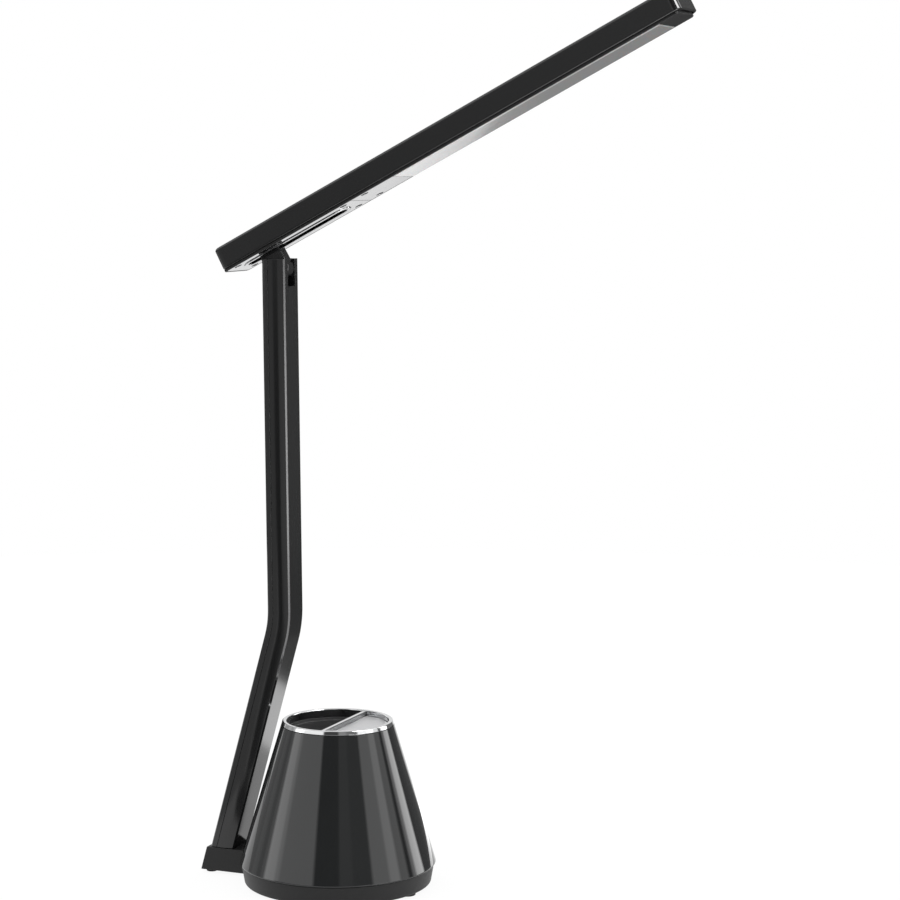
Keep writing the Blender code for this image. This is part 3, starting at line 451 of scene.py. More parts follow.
# One row for each slot: its colour, its patterns as (waves to the metre, detail, stretch), the pattern that tints it
# with the darkest and lightest share, its roughness with what each pattern adds, the pattern of its relief with the
# depth in metres, whether its edges are rounded in the shading, and its plain sockets
LOOKS = {
    # Polished plastic: slow waves of the moulding in its gloss, and a haze of fine polish marks
    "gloss_black": (
        "gloss_black", ((38.0, 2.0), (900.0, 3.0)), (0, 0.92, 1.08), (0.03, 0.02, 0.015), (0, 0.00002), False,
        {"IOR": 1.5},
    ),
    # Moulded plastic with a fine even grain; its roughness drifts a little over the piece
    "satin_black": (
        "satin_black", ((26.0, 2.0), (1500.0, 2.0)), (1, 0.93, 1.07), (0.09, 0.06, 0.04), (1, 0.000006), False,
        {"IOR": 1.5},
    ),
    "matte_black": (
        "matte_black", ((26.0, 2.0), (2600.0, 2.0)), (1, 0.93, 1.07), (0.46, 0.06, 0.04), (1, 0.000022), True,
        {"IOR": 1.38},
    ),
    "well_black": (
        "well_black", ((26.0, 2.0), (2400.0, 2.0)), (1, 0.93, 1.07), (0.45, 0.06, 0.04), (1, 0.000014), False,
        {"IOR": 1.35},
    ),
    "acetal": (
        "acetal", ((26.0, 2.0), (1800.0, 2.0)), (1, 0.93, 1.07), (0.40, 0.06, 0.04), (1, 0.00001), True, {"IOR": 1.5},
    ),
    # Bright plating, and a bright silver coat: mirror-like, with a faint unevenness in the polish
    "chrome": (
        "chrome", ((120.0, 2.0), (2600.0, 2.0)), (1, 0.97, 1.0), (0.035, 0.03, 0.0), (0, 0.000003), False,
        {"Metallic": 1.0},
    ),
    "bright_silver": (
        "bright_silver", ((120.0, 2.0), (2600.0, 2.0)), (1, 0.97, 1.0), (0.09, 0.03, 0.0), (0, 0.000003), True,
        {"Metallic": 1.0},
    ),
    # Silver lacquer: fine bright flakes under a clear coat
    "silver": (
        "silver", ((5200.0, 1.0),), (0, 0.86, 1.1), (0.30, 0.12), (0, 0.000004), True, {"Metallic": 0.35, "IOR": 1.5},
    ),
    # Frosted diffuser: milky, with a fine pearled face and a polished skin
    "opal": (
        "opal", ((2400.0, 1.0), (14.0, 2.0)), (1, 0.96, 1.02), (0.05, 0.04, 0.0), (0, 0.000012), False,
        {"IOR": 1.62, "Subsurface Weight": 0.25, "Subsurface Scale": 0.002, "Coat Weight": 1.0, "Coat Roughness": 0.05},
    ),
    # Turned or rolled metal: fine lines, and darker and lighter places
    "steel": (
        "steel", ((3000.0, 2.0), (180.0, 2.0)), (1, 0.88, 1.08), (0.22, 0.14, 0.0), (0, 0.000004), False,
        {"Metallic": 1.0},
    ),
    "dark_steel": (
        "dark_steel", ((3000.0, 2.0), (180.0, 2.0)), (1, 0.88, 1.08), (0.34, 0.14, 0.0), (0, 0.000004), False,
        {"Metallic": 1.0},
    ),
    "cast_iron": (
        "dark_steel", ((3000.0, 2.0), (180.0, 2.0)), (1, 0.88, 1.08), (0.55, 0.14, 0.0), (0, 0.000004), False,
        {"Metallic": 1.0},
    ),
    # Soft rubber: matte, with a pitted skin
    "rubber": ("rubber", ((3600.0, 3.0),), (0, 0.8, 1.3), (0.72, 0.15), (0, 0.00002), False, {"IOR": 1.45}),
    # Circuit board: white lacquer with faint copper lines under it
    "board": (
        "board", ((1400.0, 1.0, (1.0, 0.1, 1.0)),), (0, 0.85, 1.05), (0.35, 0.1), (0, 0.00001), False, {"IOR": 1.5},
    ),
}


def make_finish(slot, colours, edge_round):
    """A Principled material from a slot's row: what varies is linked, and what is plain is set on its socket."""
    colour, patterns, (tinting, dark, light), (roughness, *drifts), (raised, depth), edged, plain = LOOKS[slot]
    material = bpy.data.materials.new(slot)
    nodes = Nodes(material)
    shader = nodes.tree.nodes["Principled BSDF"]
    for key, value in plain.items():
        shader.inputs[key].default_value = value
    waves = [nodes.noise(*pattern) for pattern in patterns]
    base = getattr(colours, colour)
    drifting = [wave * drift for wave, drift in zip(waves, drifts) if drift]
    bump = {"Height": waves[raised], "Distance": depth, "Strength": 1.0}
    if edged:
        bump["Normal"] = nodes.out("ShaderNodeBevel", {"samples": BEVEL_SAMPLES}, {"Radius": edge_round})
    linked = {
        "Base Color": nodes.mix(waves[tinting], opaque(base, dark), opaque(base, light)),
        "Roughness": sum(drifting[1:], drifting[0]) + roughness,
        "Normal": nodes.out("ShaderNodeBump", None, bump),
    }
    for key, value in linked.items():
        nodes.tree.links.new(value.socket, shader.inputs[key])
    return material


class Finishes:
    """The lamp's materials, made once from the colours of the panel."""

    made = {}

    @classmethod
    def get(cls, slot):
        """The finish of a slot."""
        if slot not in cls.made:
            scene = bpy.context.scene
            cls.made[slot] = make_finish(slot, scene.lamp_colours, scene.lamp_shapes.fine_round)
        return cls.made[slot]


def dress(**slots):
    """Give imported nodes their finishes."""
    for node, slot in slots.items():
        mesh = frame["nodes"][node].data
        mesh.materials.clear()
        mesh.materials.append(Finishes.get(slot))


# Settings


def length(name, description, default):
    """A length that a user can change."""
    return FloatProperty(name=name, description=description, default=default, min=0.0, unit="LENGTH", precision=5)


def tint(name, description, default):
    """A colour that a user can change."""
    return FloatVectorProperty(
        name=name, description=description, default=default, min=0.0, max=1.0, size=3, subtype="COLOR"
    )


class LampShapes(bpy.types.PropertyGroup):
    """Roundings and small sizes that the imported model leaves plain."""

    rim_round: length("Cup rim", "Rounding of the cup's widest edge", 0.0007)
    ring_round: length("Ring edge", "Rounding of the chrome ring's top edges", 0.0006)
    edge_round: length("Moulding edge", "Rounding of the black mouldings' edges", 0.0004)
    fine_round: length("Fine edge", "Rounding of the thinnest edges", 0.00015)
    well_fillet: length("Well fillet", "Rounding between the pen well's wall and floor", 0.004)
    shell_fillet: length("Base fillet", "Rounding of the base shell's lower edge", 0.0016)
    head_corner: length("Head corner", "Rounding of the light bar's corners in plan", 0.0048)
    head_edge: length("Head edge", "Rounding of the light bar's top edge", 0.0015)
    head_chamfer: length("Head lower edge", "Rounding of the light bar's lower edge", 0.0012)
    arm_chamfer: length("Arm edge", "Chamfer of the arm's front and rear corners", 0.0009)
    neck_round: length("Neck edge", "Rounding of the neck's edges", 0.0009)
    cross_width: length("Cross width", "Width of the cross in a screw's head", 0.0006)


class LampColours(bpy.types.PropertyGroup):
    """Colours of the finishes."""

    gloss_black: tint("Gloss black", "Polished plastic of the cup", (0.017, 0.018, 0.0185))
    satin_black: tint("Satin black", "Plastic of the arm and the light bar", (0.0095, 0.0097, 0.010))
    matte_black: tint("Matte black", "Plastic of the base and the lower frame", (0.0110, 0.0110, 0.0113))
    well_black: tint("Well black", "Plastic inside the cup", (0.080, 0.080, 0.081))
    chrome: tint("Chrome", "Plating of the ring and the bar", (0.56, 0.565, 0.57))
    silver: tint("Silver", "Lacquer of the touch panel", (0.62, 0.62, 0.63))
    bright_silver: tint("Bright silver", "Coat of the covers under the light bar", (0.50, 0.50, 0.505))
    opal: tint("Opal", "Diffuser", (0.53, 0.53, 0.527))
    steel: tint("Steel", "Hinge pin and screws", (0.56, 0.57, 0.58))
    dark_steel: tint("Dark steel", "Blackened screws and the ballast", (0.08, 0.08, 0.085))
    rubber: tint("Rubber", "Feet", (0.016, 0.016, 0.016))
    acetal: tint("Acetal", "Slide carriage and shoe", (0.030, 0.030, 0.031))
    board: tint("Board", "Circuit boards", (0.70, 0.71, 0.70))
    floor: tint("Floor", "Floor under the lamp", (0.90, 0.90, 0.90))


class LampStage(bpy.types.PropertyGroup):
    """Camera and light."""

    lens: FloatProperty(name="Lens", description="Camera lens in millimetres", default=103.175, min=10.0)
    brightness: FloatProperty(name="Brightness", description="Strength of the even light", default=0.9, min=0.0)


# Cup

# How much of its rounding the ring's lip is widened by, the divider bar's rows, how far under its deck the well is
# measured, how far its floor's flat reaches as a share of its radius, and the rounding of its thin edges
LIP_SHARE = 0.65
BAR_ROWS = 9
BELOW_DECK = 0.02
WELL_CORE = 0.4
WELL_ROUND = 0.0002


def rims(points, height):
    """Inner and outer radius of some points at one height."""
    level = points[np.abs(points[:, 2] - height) < FINE_ROUND]
    radius = np.hypot(level[:, 0], level[:, 1])
    return radius.min(), radius.max()


def widest(points):
    """The largest radius of some points, and the height of the point that has it."""
    radius = np.hypot(points[:, 0], points[:, 1])
    return radius.max(), points[radius.argmax(), 2]


class LAMP_OT_cup(bpy.types.Operator):
    """Make the cup shell, its chrome ring and what fills its mouth"""

    bl_idname = "lamp.cup"
    bl_label = "Cup"

    def execute(self, context):
        """Cover the nodes of the cup."""
        shapes = context.scene.lamp_shapes
        self.shell(shapes)
        self.ring(shapes)
        self.bar(shapes)
        self.panel(shapes)
        self.well(shapes)
        return {"FINISHED"}

    def shell(self, shapes):
        """The cone: a straight wall turned round, with its widest edge rounded."""
        points = node_points("cup_shell", CUP)
        low, top = widest(points)[1], points[:, 2].max()
        wide = rims(points, low)[1]
        top_in, top_out = rims(points, top)
        wall = top_out - top_in
        corners = [(wide, low), (top_out, top), (top_in, top), (wide - wall, low)]
        profile = rounded(corners, [shapes.rim_round] + [shapes.fine_round] * 3)
        cover("cup_shell", CUP.world(lathe(profile)), "stand", "gloss_black", ring=True)

    def ring(self, shapes):
        """The ring: a rounded lip that carries on the cone's slope, and a skirt inside the mouth."""
        points = node_points("chrome_ring", CUP)
        low, top = points[:, 2].min(), points[:, 2].max()
        wide, step = widest(points)
        inner, skirt = rims(points, low)
        narrow = rims(points, top)[1] + shapes.ring_round * LIP_SHARE
        corners = [(inner, top), (narrow, top), (wide, step), (skirt, step), (skirt, low), (inner, low)]
        profile = rounded(corners, [shapes.ring_round] * 2 + [shapes.fine_round] * 4)
        cover("chrome_ring", CUP.world(lathe(profile)), "stand", "chrome", ring=True)

    def bar(self, shapes):
        """The divider bar: each point (x, z) of its section runs along y = t * sqrt(reach^2 - x^2), t from -1 to 1."""
        low, high = extent("divider_bar", CUP)
        reach = math.hypot(high[0], high[1])
        corners = [(low[0], low[2]), (high[0], low[2]), (high[0], high[2]), (low[0], high[2])]
        section = rounded(corners, [shapes.fine_round] * 2 + [shapes.ring_round] * 2)
        along = np.linspace(-1.0, 1.0, BAR_ROWS)[:, None]
        x, z = section[None, :, 0], section[None, :, 1]
        grid = np.stack([x + 0 * along, along * np.sqrt(reach**2 - x**2), z + 0 * along], axis=-1)
        cover("divider_bar", CUP.world(grid), "stand", "chrome")

    def panel(self, shapes):
        """The touch panel: part of a disc with a rounded top edge."""
        low, high = extent("touch_panel", CUP)
        deep = high[0] / 3
        corners = [(deep, low[2]), (0.0, low[2]), (0.0, high[2]), (deep, high[2])]
        profile = rounded(corners, [0.0, shapes.fine_round, shapes.edge_round, 0.0], closed=False)
        grid = layered(profile, lambda inset: segment(high[0], low[0], 1, inset))
        cover("touch_panel", CUP.world(grid), "stand", "silver")

    def well(self, shapes):
        """The insert: upstand, ledge, and the half-round well.

        Rows are outlines of one order of points: half-round ones inside, whole discs for the ledge and the upstand.
        """
        points = node_points("pen_well", CUP)
        bottom, top = points[:, 2].min(), points[:, 2].max()
        bar = extent("divider_bar", CUP)[0]
        chord, deck = bar[0], bar[2] - CLEARANCE
        upstand_in, upstand_out = rims(points, top)
        lip, under = widest(points)
        below = points[points[:, 2] < deck - BELOW_DECK]
        outer, outer_chord = widest(below)[0], below[:, 0].max()
        wall = outer_chord - chord
        inner, floor = outer - wall, bottom + wall
        fillet, edge, fine = shapes.well_fillet, shapes.edge_round, WELL_ROUND
        inside = [(inner * WELL_CORE, floor), (0.0, floor), (0.0, deck), (-edge, deck)]
        hollow = rounded(inside, [0.0, fillet, edge, 0.0], closed=False)
        body = rounded([(0.0, under), (0.0, bottom), (outer * WELL_CORE, bottom)], [0.0, fillet, 0.0], closed=False)
        ledge = [(upstand_in - edge, deck), (upstand_in, deck)]
        upstand = [(upstand_in, top), (upstand_out, top), (lip, under), (outer + edge, under)]
        rim = rounded(ledge + upstand, [0.0, edge, fine, fine, fine, 0.0], closed=False)
        rows = [(segment(inner, chord, -1, inset), height) for inset, height in hollow]
        rows += [(disc_like(radius, chord, -1), height) for radius, height in rim]
        rows += [(segment(outer, outer_chord, -1, inset), height) for inset, height in body]
        cover("pen_well", CUP.world(stacked(*zip(*rows))), "stand", "well_black")


# Base

# The tail block: its top, half its width, the rounding of its rear corners, how far it reaches under the cup, how close
# together its two levels at the cup's lower edge lie, the flat of its caps as a share of half its width, and how far
# from the dish a packed point counts as the tail's
TAIL_TOP = 0.0168
TAIL_HALF = 0.0111
TAIL_CORNER = 0.0008
TAIL_OVERLAP = 0.003
TAIL_STEP = 0.00002
TAIL_CORE = 0.7
TAIL_AWAY = 0.004

# Screws: the depth of the counterbore; as shares of the head's radius, its thickness, the shank and the arms of the
# cross; as shares of the thickness, the rim's rounding and the cross's depth; how the cross narrows from its mouth to
# its floor; and the radius of the shank's flat end
COUNTERBORE = 0.0013
HEAD_SHARE = 0.48
SHANK_SHARE = 0.62
CROSS_SHARE = 0.62
RIM_SHARE = 0.55
CROSS_DEPTH = 0.6
CROSS_TAPER = (1.15, 0.7)
SCREW_TIP = 0.0002

# The inlet: its bore and pin as shares of its radius, the bore's floor as a share of its length, how far the pin stands
# back from the face, the radius of its flat end, and where its hole in the dish begins and ends, from its face
BORE_SHARE = 0.68
PIN_SHARE = 0.24
BORE_DEPTH = 0.82
PIN_SETBACK = 0.002
INLET_CORE = 0.0005
HOLE_FROM = -0.004
HOLE_TO = 0.006


def round_piece(node, basis):
    """The middle (x, y) of a packed round piece, its radius, and its lowest and highest place along Z."""
    low, high = extent(node, basis)
    return (low[:2] + high[:2]) / 2, (high[0] - low[0]) / 2, low[2], high[2]


def cross_screw(radius, thickness, length, basis):
    """A screw's grid: a head with a rounded rim from minus its thickness to 0, and a shank from 0 up."""
    core, shank, tip = radius * CORE_SHARE, radius * SHANK_SHARE, SCREW_TIP
    corners = [(core, -thickness), (radius, -thickness), (radius, 0.0), (shank, 0.0), (shank, length), (tip, length)]
    radii = [0.0, thickness * RIM_SHARE, FINE_ROUND, FINE_ROUND, TIP_ROUND, 0.0]
    return turned(basis, corners, radii, SMALL_TURNS)


def cross_cutters(radius, thickness, basis, width):
    """Two tapered bars that cut a cross into a screw's head, as meshes."""
    reach, depth = radius * CROSS_SHARE, thickness * CROSS_DEPTH
    made = []
    for x, y in ((reach, width / 2), (width / 2, reach)):
        arm = np.array([(x, y), (-x, y), (-x, -y), (x, -y)])
        rows = stacked([arm * share for share in CROSS_TAPER], [-thickness - depth, -thickness + depth])
        made.append(grid_mesh("cross", basis.world(rows)))
    return made


def add_screws(names, body, basis, slot, flip=False):
    """Screws in place of packed ones, each with a cross in its head; they run along the Z of the basis."""
    width = bpy.context.scene.lamp_shapes.cross_width
    for name in names:
        (x, y), radius, low, high = round_piece(name, basis)
        thickness = radius * HEAD_SHARE
        if flip:
            here = basis.at((x, y, high - thickness), x=(1.0, 0.0, 0.0), z=(0.0, 0.0, -1.0))
        else:
            here = basis.at((x, y, low + thickness))
        screw = cover(name, cross_screw(radius, thickness, high - low - thickness, here), body, slot)
        carve(screw, cross_cutters(radius, thickness, here, width))


class LAMP_OT_base(bpy.types.Operator):
    """Make the base shell with its tail block, and the feet, screws and inlet under it"""

    bl_idname = "lamp.base"
    bl_label = "Base"

    feet = ("foot_1", "foot_2", "foot_3", "foot_4", "tail_foot_1", "tail_foot_2")
    screws = ("base_screw_1", "base_screw_2", "base_screw_3", "base_screw_4", "arm_screw_1", "arm_screw_2")

    def execute(self, context):
        """Cover the nodes of the base."""
        shapes = context.scene.lamp_shapes
        self.dish(shapes)
        self.tail(shapes)
        self.inlet()
        for name in self.feet:
            (x, y), radius, low, high = round_piece(name, CUP)
            mesh = disc(f"{name}_fine", radius, low, high, CUP.at((x, y, 0.0)), shapes.edge_round)
            add_piece(f"{name}_fine", mesh, "stand", "rubber", name)
        add_screws(self.screws, "stand", CUP, "steel")
        dress(ballast_weight="cast_iron", touch_board="board")
        return {"FINISHED"}

    def sinks(self):
        """Cutters for the recesses of the feet and the counterbores of the screws, as meshes."""
        made = []
        for name in self.feet + self.screws:
            (x, y), radius, low, high = round_piece(name, CUP)
            top = high + CLEARANCE if name in self.feet else low + COUNTERBORE
            made.append(disc("sink", radius + CLEARANCE, -CLEARANCE, top, CUP.at((x, y, 0.0))))
        return made

    def dish(self, shapes):
        """The dish under the cup: floor, slightly flared wall and rounded lower edge, turned round."""
        points = node_points("base_shell", CUP)
        ahead = points[points[:, 0] > 0.0]
        bottom, top = ahead[:, 2].min(), ahead[:, 2].max()
        wide = self.wide = widest(ahead)[0]
        inner = rims(ahead, top)[0]
        wall = wide - inner
        foot = rims(ahead, bottom)[1] + shapes.shell_fillet
        floor, middle = bottom + wall, foot / 2
        corners = [(middle, floor), (foot - wall, floor), (inner, top), (wide, top), (foot, bottom), (middle, bottom)]
        radii = [0.0, shapes.edge_round, shapes.fine_round, shapes.fine_round * 2, shapes.shell_fillet, 0.0]
        dish = cover("base_shell", turned(CUP, corners, radii), "stand", "matte_black")
        inlet = self.inlet_basis()
        low, high = extent("power_inlet", inlet)
        begins, ends = low[2] + HOLE_FROM, low[2] + HOLE_TO
        hole = disc("inlet_hole", high[1] + CLEARANCE, begins, ends, inlet, turns=TURNS)
        carve(dish, self.sinks() + [hole])

    def inlet_basis(self):
        """The inlet's own axes: Z runs from its face towards the middle of the cup."""
        points = node_points("power_inlet", CUP)
        middle = points.mean(0)
        away = unit(np.array([middle[0], middle[1], 0.0]))
        height = (points[:, 2].min() + points[:, 2].max()) / 2
        return CUP.at(away * widest(points)[0] + UP * height, x=np.cross(UP, away), z=-away)

    def inlet(self):
        """The power inlet: a sleeve with a rounded mouth, and the contact pin in it."""
        here = self.inlet_basis()
        low, high = extent("power_inlet", here)
        outer, face, back = high[1], low[2], high[2]
        bore, pin, core, floor = outer * BORE_SHARE, outer * PIN_SHARE, INLET_CORE, back * BORE_DEPTH
        corners = [(core, back), (outer, back), (outer, face), (bore, face), (bore, floor), (core, floor)]
        fine = FINE_ROUND
        sleeve = turned(here, corners, [0.0, fine, 3 * fine, 3 * fine, fine, 0.0], SMALL_TURNS)
        cover("power_inlet", sleeve, "stand", "matte_black")
        add_piece("inlet_pin", disc("inlet_pin", pin, face + PIN_SETBACK, floor, here, 2 * fine), "stand", "steel")

    def tail(self, shapes):
        """The tail block: a rounded box whose front follows the cup and whose rear slants as the arm does.

        A point of the rounded box at (s, y), s from 0 at the rear to 1 at the front, lies at
        x = rear(z) + s * (front(y, z) - rear(z)), where front is the circle of the cup at that height.
        """
        points = node_points("base_shell", CUP)
        behind = points[points[:, 0] < -self.wide - TAIL_AWAY]
        high, bottom = points[:, 2].max(), points[:, 2].min()
        rear_bottom = behind[:, 0].min()
        rear_top = behind[behind[:, 2] > high - FINE_ROUND][:, 0].min()
        slope = (rear_top - rear_bottom) / (high - bottom)
        half, middle, edge = TAIL_HALF, TAIL_HALF * TAIL_CORE, shapes.edge_round
        beside_cup = CUP.origin[0] - CUP_BOX[0].x + CLEARANCE
        under_cup = self.wide - TAIL_OVERLAP
        dish_top = points[points[:, 0] > 0.0][:, 2].max()
        corners = [(middle, bottom), (0.0, bottom), (0.0, TAIL_TOP), (middle, TAIL_TOP)]
        profile = rounded(corners, [0.0, edge, edge, 0.0], closed=False)
        # Two levels close together make the step from under the cup to beside it
        for height in (dish_top, dish_top + TAIL_STEP):
            profile = np.insert(profile, int(np.searchsorted(profile[:, 1], height)), (0.0, height), axis=0)
        rows = []
        for inset, height in profile:
            reach = beside_cup if height > dish_top + TAIL_STEP / 2 else under_cup
            rear = rear_bottom + slope * (height - bottom) + inset
            front = -math.sqrt(reach**2 - half**2)
            box = plan(rear, front, half - inset, TAIL_CORNER, FINE_ROUND, EDGE_STEPS)
            share = (box[:, 0] - rear) / (front - rear)
            x = rear + share * (-np.sqrt(reach**2 - box[:, 1] ** 2) - rear)
            rows.append(np.column_stack([x, box[:, 1], np.full(len(x), height)]))
        mesh = grid_mesh("tail_block", CUP.world(np.stack(rows)))
        carve(add_piece("tail_block", mesh, "stand", "matte_black"), self.sinks())


# Arm

ARM_DEPTH = 0.0156
ARM_SPLIT = 0.0045
ARM_EDGE_HALF = 0.0095
ARM_BULGE = 0.0012
ARM_WALL = 0.0022
ARM_ROUND = 0.0003
CHANNEL_HALF = 0.0052
SLOT_HALF = 0.00485
SLOT_DROP = 0.0109
NOTCH_DROP = 0.0080
LOWER_LEAN = math.radians(15.6)
UPPER_LEAN = math.radians(0.7)
BEND_RADIUS = 0.070
BEND_HEIGHT = 0.1613
SEAM = 0.0003

# The hinge pin: its core, its shank as a share of the head's radius, and the head's thickness
PIN_CORE = 0.0006
PIN_SHANK = 0.61
PIN_HEAD = 0.001


def arm_width(depth):
    """Half of the arm's width: edge + bulge * (1 - t^2), with t from -1 at the rear face to 1 at the front one."""
    return ARM_EDGE_HALF + ARM_BULGE * (1 - (2 * depth / ARM_DEPTH - 1) ** 2)


def arm_half(face, seam, chamfer):
    """Half of the arm's cross-section as (depth, y), from the middle of its face round to the inside of that face.

    The corner is cut at about 45 degrees, and both edges of the cut are rounded.
    """
    inwards = math.copysign(1.0, seam - face)
    depth = np.linspace(face, seam, SIDE_STEPS + 1)
    half = arm_width(depth)
    cut = face + inwards * chamfer
    corners = [(face, 0.0), (face, half[0] - chamfer), (cut, arm_width(cut)), (depth[4], half[4])]
    corner = rounded(corners, ARM_ROUND, closed=False)
    seam_edge = rounded(
        [(depth[-2], half[-2]), (seam, half[-1]), (seam, CHANNEL_HALF)], FINE_ROUND, 3, closed=False, flat=FLAT / 2
    )
    start = [(face, 0.0), (face, SLOT_HALF)]
    inner = face + inwards * ARM_WALL
    end = [(inner, CHANNEL_HALF), (inner, SLOT_HALF), (inner, 0.0)]
    side = np.stack([depth[5:-2], half[5:-2]], axis=-1)
    return np.concatenate([start, corner[1:], side, seam_edge, end])


def arm_rows(foot, slot_low, top):
    """Places along the arm as (x, z, lean, level, slotted): straight, round the bend, straight, then the slotted top.

    On the bend the point is centre + radius * (cos lean, -sin lean), with the lean falling evenly.
    """
    bend_x = HINGE[0] + (HINGE[2] - BEND_HEIGHT) * math.tan(UPPER_LEAN)
    turn = LOWER_LEAN + UPPER_LEAN
    tangent = BEND_RADIUS * math.tan(turn / 2)
    lean = np.linspace(LOWER_LEAN, -UPPER_LEAN, BEND_STEPS + 1)
    start = np.array([bend_x, BEND_HEIGHT]) - tangent * np.array([math.sin(LOWER_LEAN), math.cos(LOWER_LEAN)])
    centre = start - BEND_RADIUS * np.array([math.cos(LOWER_LEAN), -math.sin(LOWER_LEAN)])
    x = centre[0] + BEND_RADIUS * np.cos(lean)
    z = centre[1] - BEND_RADIUS * np.sin(lean)
    low_x = bend_x - math.tan(LOWER_LEAN) * (BEND_HEIGHT - foot)
    first = [(low_x, foot, LOWER_LEAN, 1, 0)]
    bend = [(*row, 0, 0) for row in np.stack([x, z, lean], axis=-1)]
    upper = []
    for height, slotted in ((slot_low, 0), (slot_low, 1), (top, 1)):
        upper.append((bend_x - (height - BEND_HEIGHT) * math.tan(UPPER_LEAN), height, -UPPER_LEAN, 1, slotted))
    return np.array(first + bend + upper)


def arm_mesh(name, face, seam, slot_low, foot, top, chamfer):
    """A channel moulding with an open slot at its top: one half is a grid, and the other is its mirror image.

    A point at (depth, y) of the section lies at x + (depth - D / 2) cos lean, z - (depth - D / 2) sin lean.
    """
    half = arm_half(face, seam, chamfer)
    rows = arm_rows(foot, slot_low, top)
    x, z, lean, level, slotted = (rows[:, column, None] for column in range(5))
    offset = half[None, :, 0] - ARM_DEPTH / 2
    across = np.where(slotted > 0.5, np.maximum(half[None, :, 1], SLOT_HALF), half[None, :, 1])
    leaned = (x + offset * np.cos(lean), z - offset * np.sin(lean))
    flat = (x + offset / np.cos(lean), z + 0 * offset)
    px = np.where(level > 0.5, flat[0], leaned[0])
    pz = np.where(level > 0.5, flat[1], leaned[1])
    grid = np.stack([px, across, pz], axis=-1)
    count, columns = grid.shape[:2]
    skin = quads(count, columns, open_sides=True)
    row = np.arange(count - 3, count - 1)[:, None] * columns
    walls = np.concatenate([row + columns - 1, row, row + columns, row + 2 * columns - 1], axis=1)
    faces = np.concatenate([skin, walls])
    total = count * columns
    points = np.concatenate([grid.reshape(-1, 3), grid.reshape(-1, 3) * (1.0, -1.0, 1.0)])
    caps = [list(range(columns)), list(range(total - columns, total))]
    every = faces.tolist() + caps
    mirrored = [[total + number for number in reversed(face)] for face in every]
    return clean_mesh(name, points, every + mirrored)


class LAMP_OT_arm(bpy.types.Operator):
    """Make the arm, its rear cover and the hinge pin"""

    bl_idname = "lamp.arm"
    bl_label = "Arm"

    def execute(self, context):
        """Cover the nodes of the arm."""
        shapes = context.scene.lamp_shapes
        foot = TAIL_TOP + SEAM
        top = extent("arm", CUP)[1][2]
        for node, face, seam, drop in (
            ("arm", ARM_DEPTH, ARM_SPLIT + SEAM / 2, SLOT_DROP),
            ("arm_rear_cover", 0.0, ARM_SPLIT - SEAM / 2, NOTCH_DROP),
        ):
            name = f"{node}_fine"
            mesh = arm_mesh(name, face, seam, HINGE[2] - drop, foot, top, shapes.arm_chamfer)
            soften(add_piece(name, mesh, "stand", "satin_black", node), shapes.fine_round)
        self.pin()
        dress(friction_washer_1="steel", friction_washer_2="steel")
        return {"FINISHED"}

    def pin(self):
        """The hinge pin: a shank, and a flat head that stands just proud of the arm's far side."""
        here = Basis(HINGE, (1.0, 0.0, 0.0), ACROSS)
        low, high = extent("hinge_pin", here)
        start, end = low[2], ARM_EDGE_HALF + ARM_BULGE + FINE_ROUND
        core, shank, head, shoulder = PIN_CORE, high[0] * PIN_SHANK, high[0], end - PIN_HEAD
        corners = [(core, start), (shank, start), (shank, shoulder), (head, shoulder), (head, end), (core, end)]
        grid = turned(here, corners, [0.0, TIP_ROUND, FINE_ROUND, FINE_ROUND, TIP_ROUND, 0.0], SMALL_TURNS)
        cover("hinge_pin", grid, "stand", "steel")


# Neck


class LAMP_OT_neck(bpy.types.Operator):
    """Make the neck between the hinge and the slide, and finish the slide's carriage"""

    bl_idname = "lamp.neck"
    bl_label = "Neck"

    def execute(self, context):
        """Cover the neck: its outline, drawn in by the rounded edges, is laid across from side to side."""
        points = node_points("neck", HEAD)
        low, high = points.min(0), points.max(0)
        radius, top = min(-low[2], ARM_DEPTH / 2 - FINE_ROUND), high[2]
        half = points[points[:, 2] > top - FINE_ROUND][:, 0].max()
        edge = context.scene.lamp_shapes.neck_round
        corners = [(edge * 2, low[1]), (0.0, low[1]), (0.0, high[1]), (edge * 2, high[1])]
        profile = rounded(corners, [0.0, edge, edge, 0.0], closed=False)
        grid = np.stack([self.outline(radius, half, top, inset, across) for inset, across in profile])
        cover("neck", HEAD.world(grid), "neck", "satin_black")
        dress(slide_carriage="acetal", slide_shoe="acetal")
        add_screws(("carriage_screw_1", "carriage_screw_2"), "neck", HEAD, "steel", flip=True)
        return {"FINISHED"}

    def outline(self, radius, half, top, inset, across):
        """The neck seen from its side: an arc of the knuckle and the two lines from its ends up to the carriage.

        The lines touch the circle where its radius is square to them, so the arc runs between the two touching angles.
        """
        knuckle, side = radius - inset, half - inset
        touch = math.atan2(top, side) - math.acos(knuckle / math.hypot(side, top))
        angle = np.linspace(touch, -np.pi - touch, ARC_STEPS)
        arc = np.stack([knuckle * np.cos(angle), knuckle * np.sin(angle)], axis=-1)
        share = np.array([0.1, 0.9, 1.0])[:, None]
        left = arc[-1] + share * (np.array([-side, top]) - arc[-1])
        right = (arc[0] + share * (np.array([side, top]) - arc[0]))[::-1]
        points = np.concatenate([arc, left, right])
        return np.column_stack([points[:, 0], np.full(len(points), across), points[:, 1]])


# Head

# Walls of the housing, the bevel of the diffuser, how far a moulding's cap reaches in as a share of half its width, and
# the rounding of the slot's rim as a share of a moulding's edge
HEAD_WALL = 0.0016
DIFFUSER_BEVEL = 0.0007
CAP_SHARE = 0.6
RIM_EDGE_SHARE = 0.8


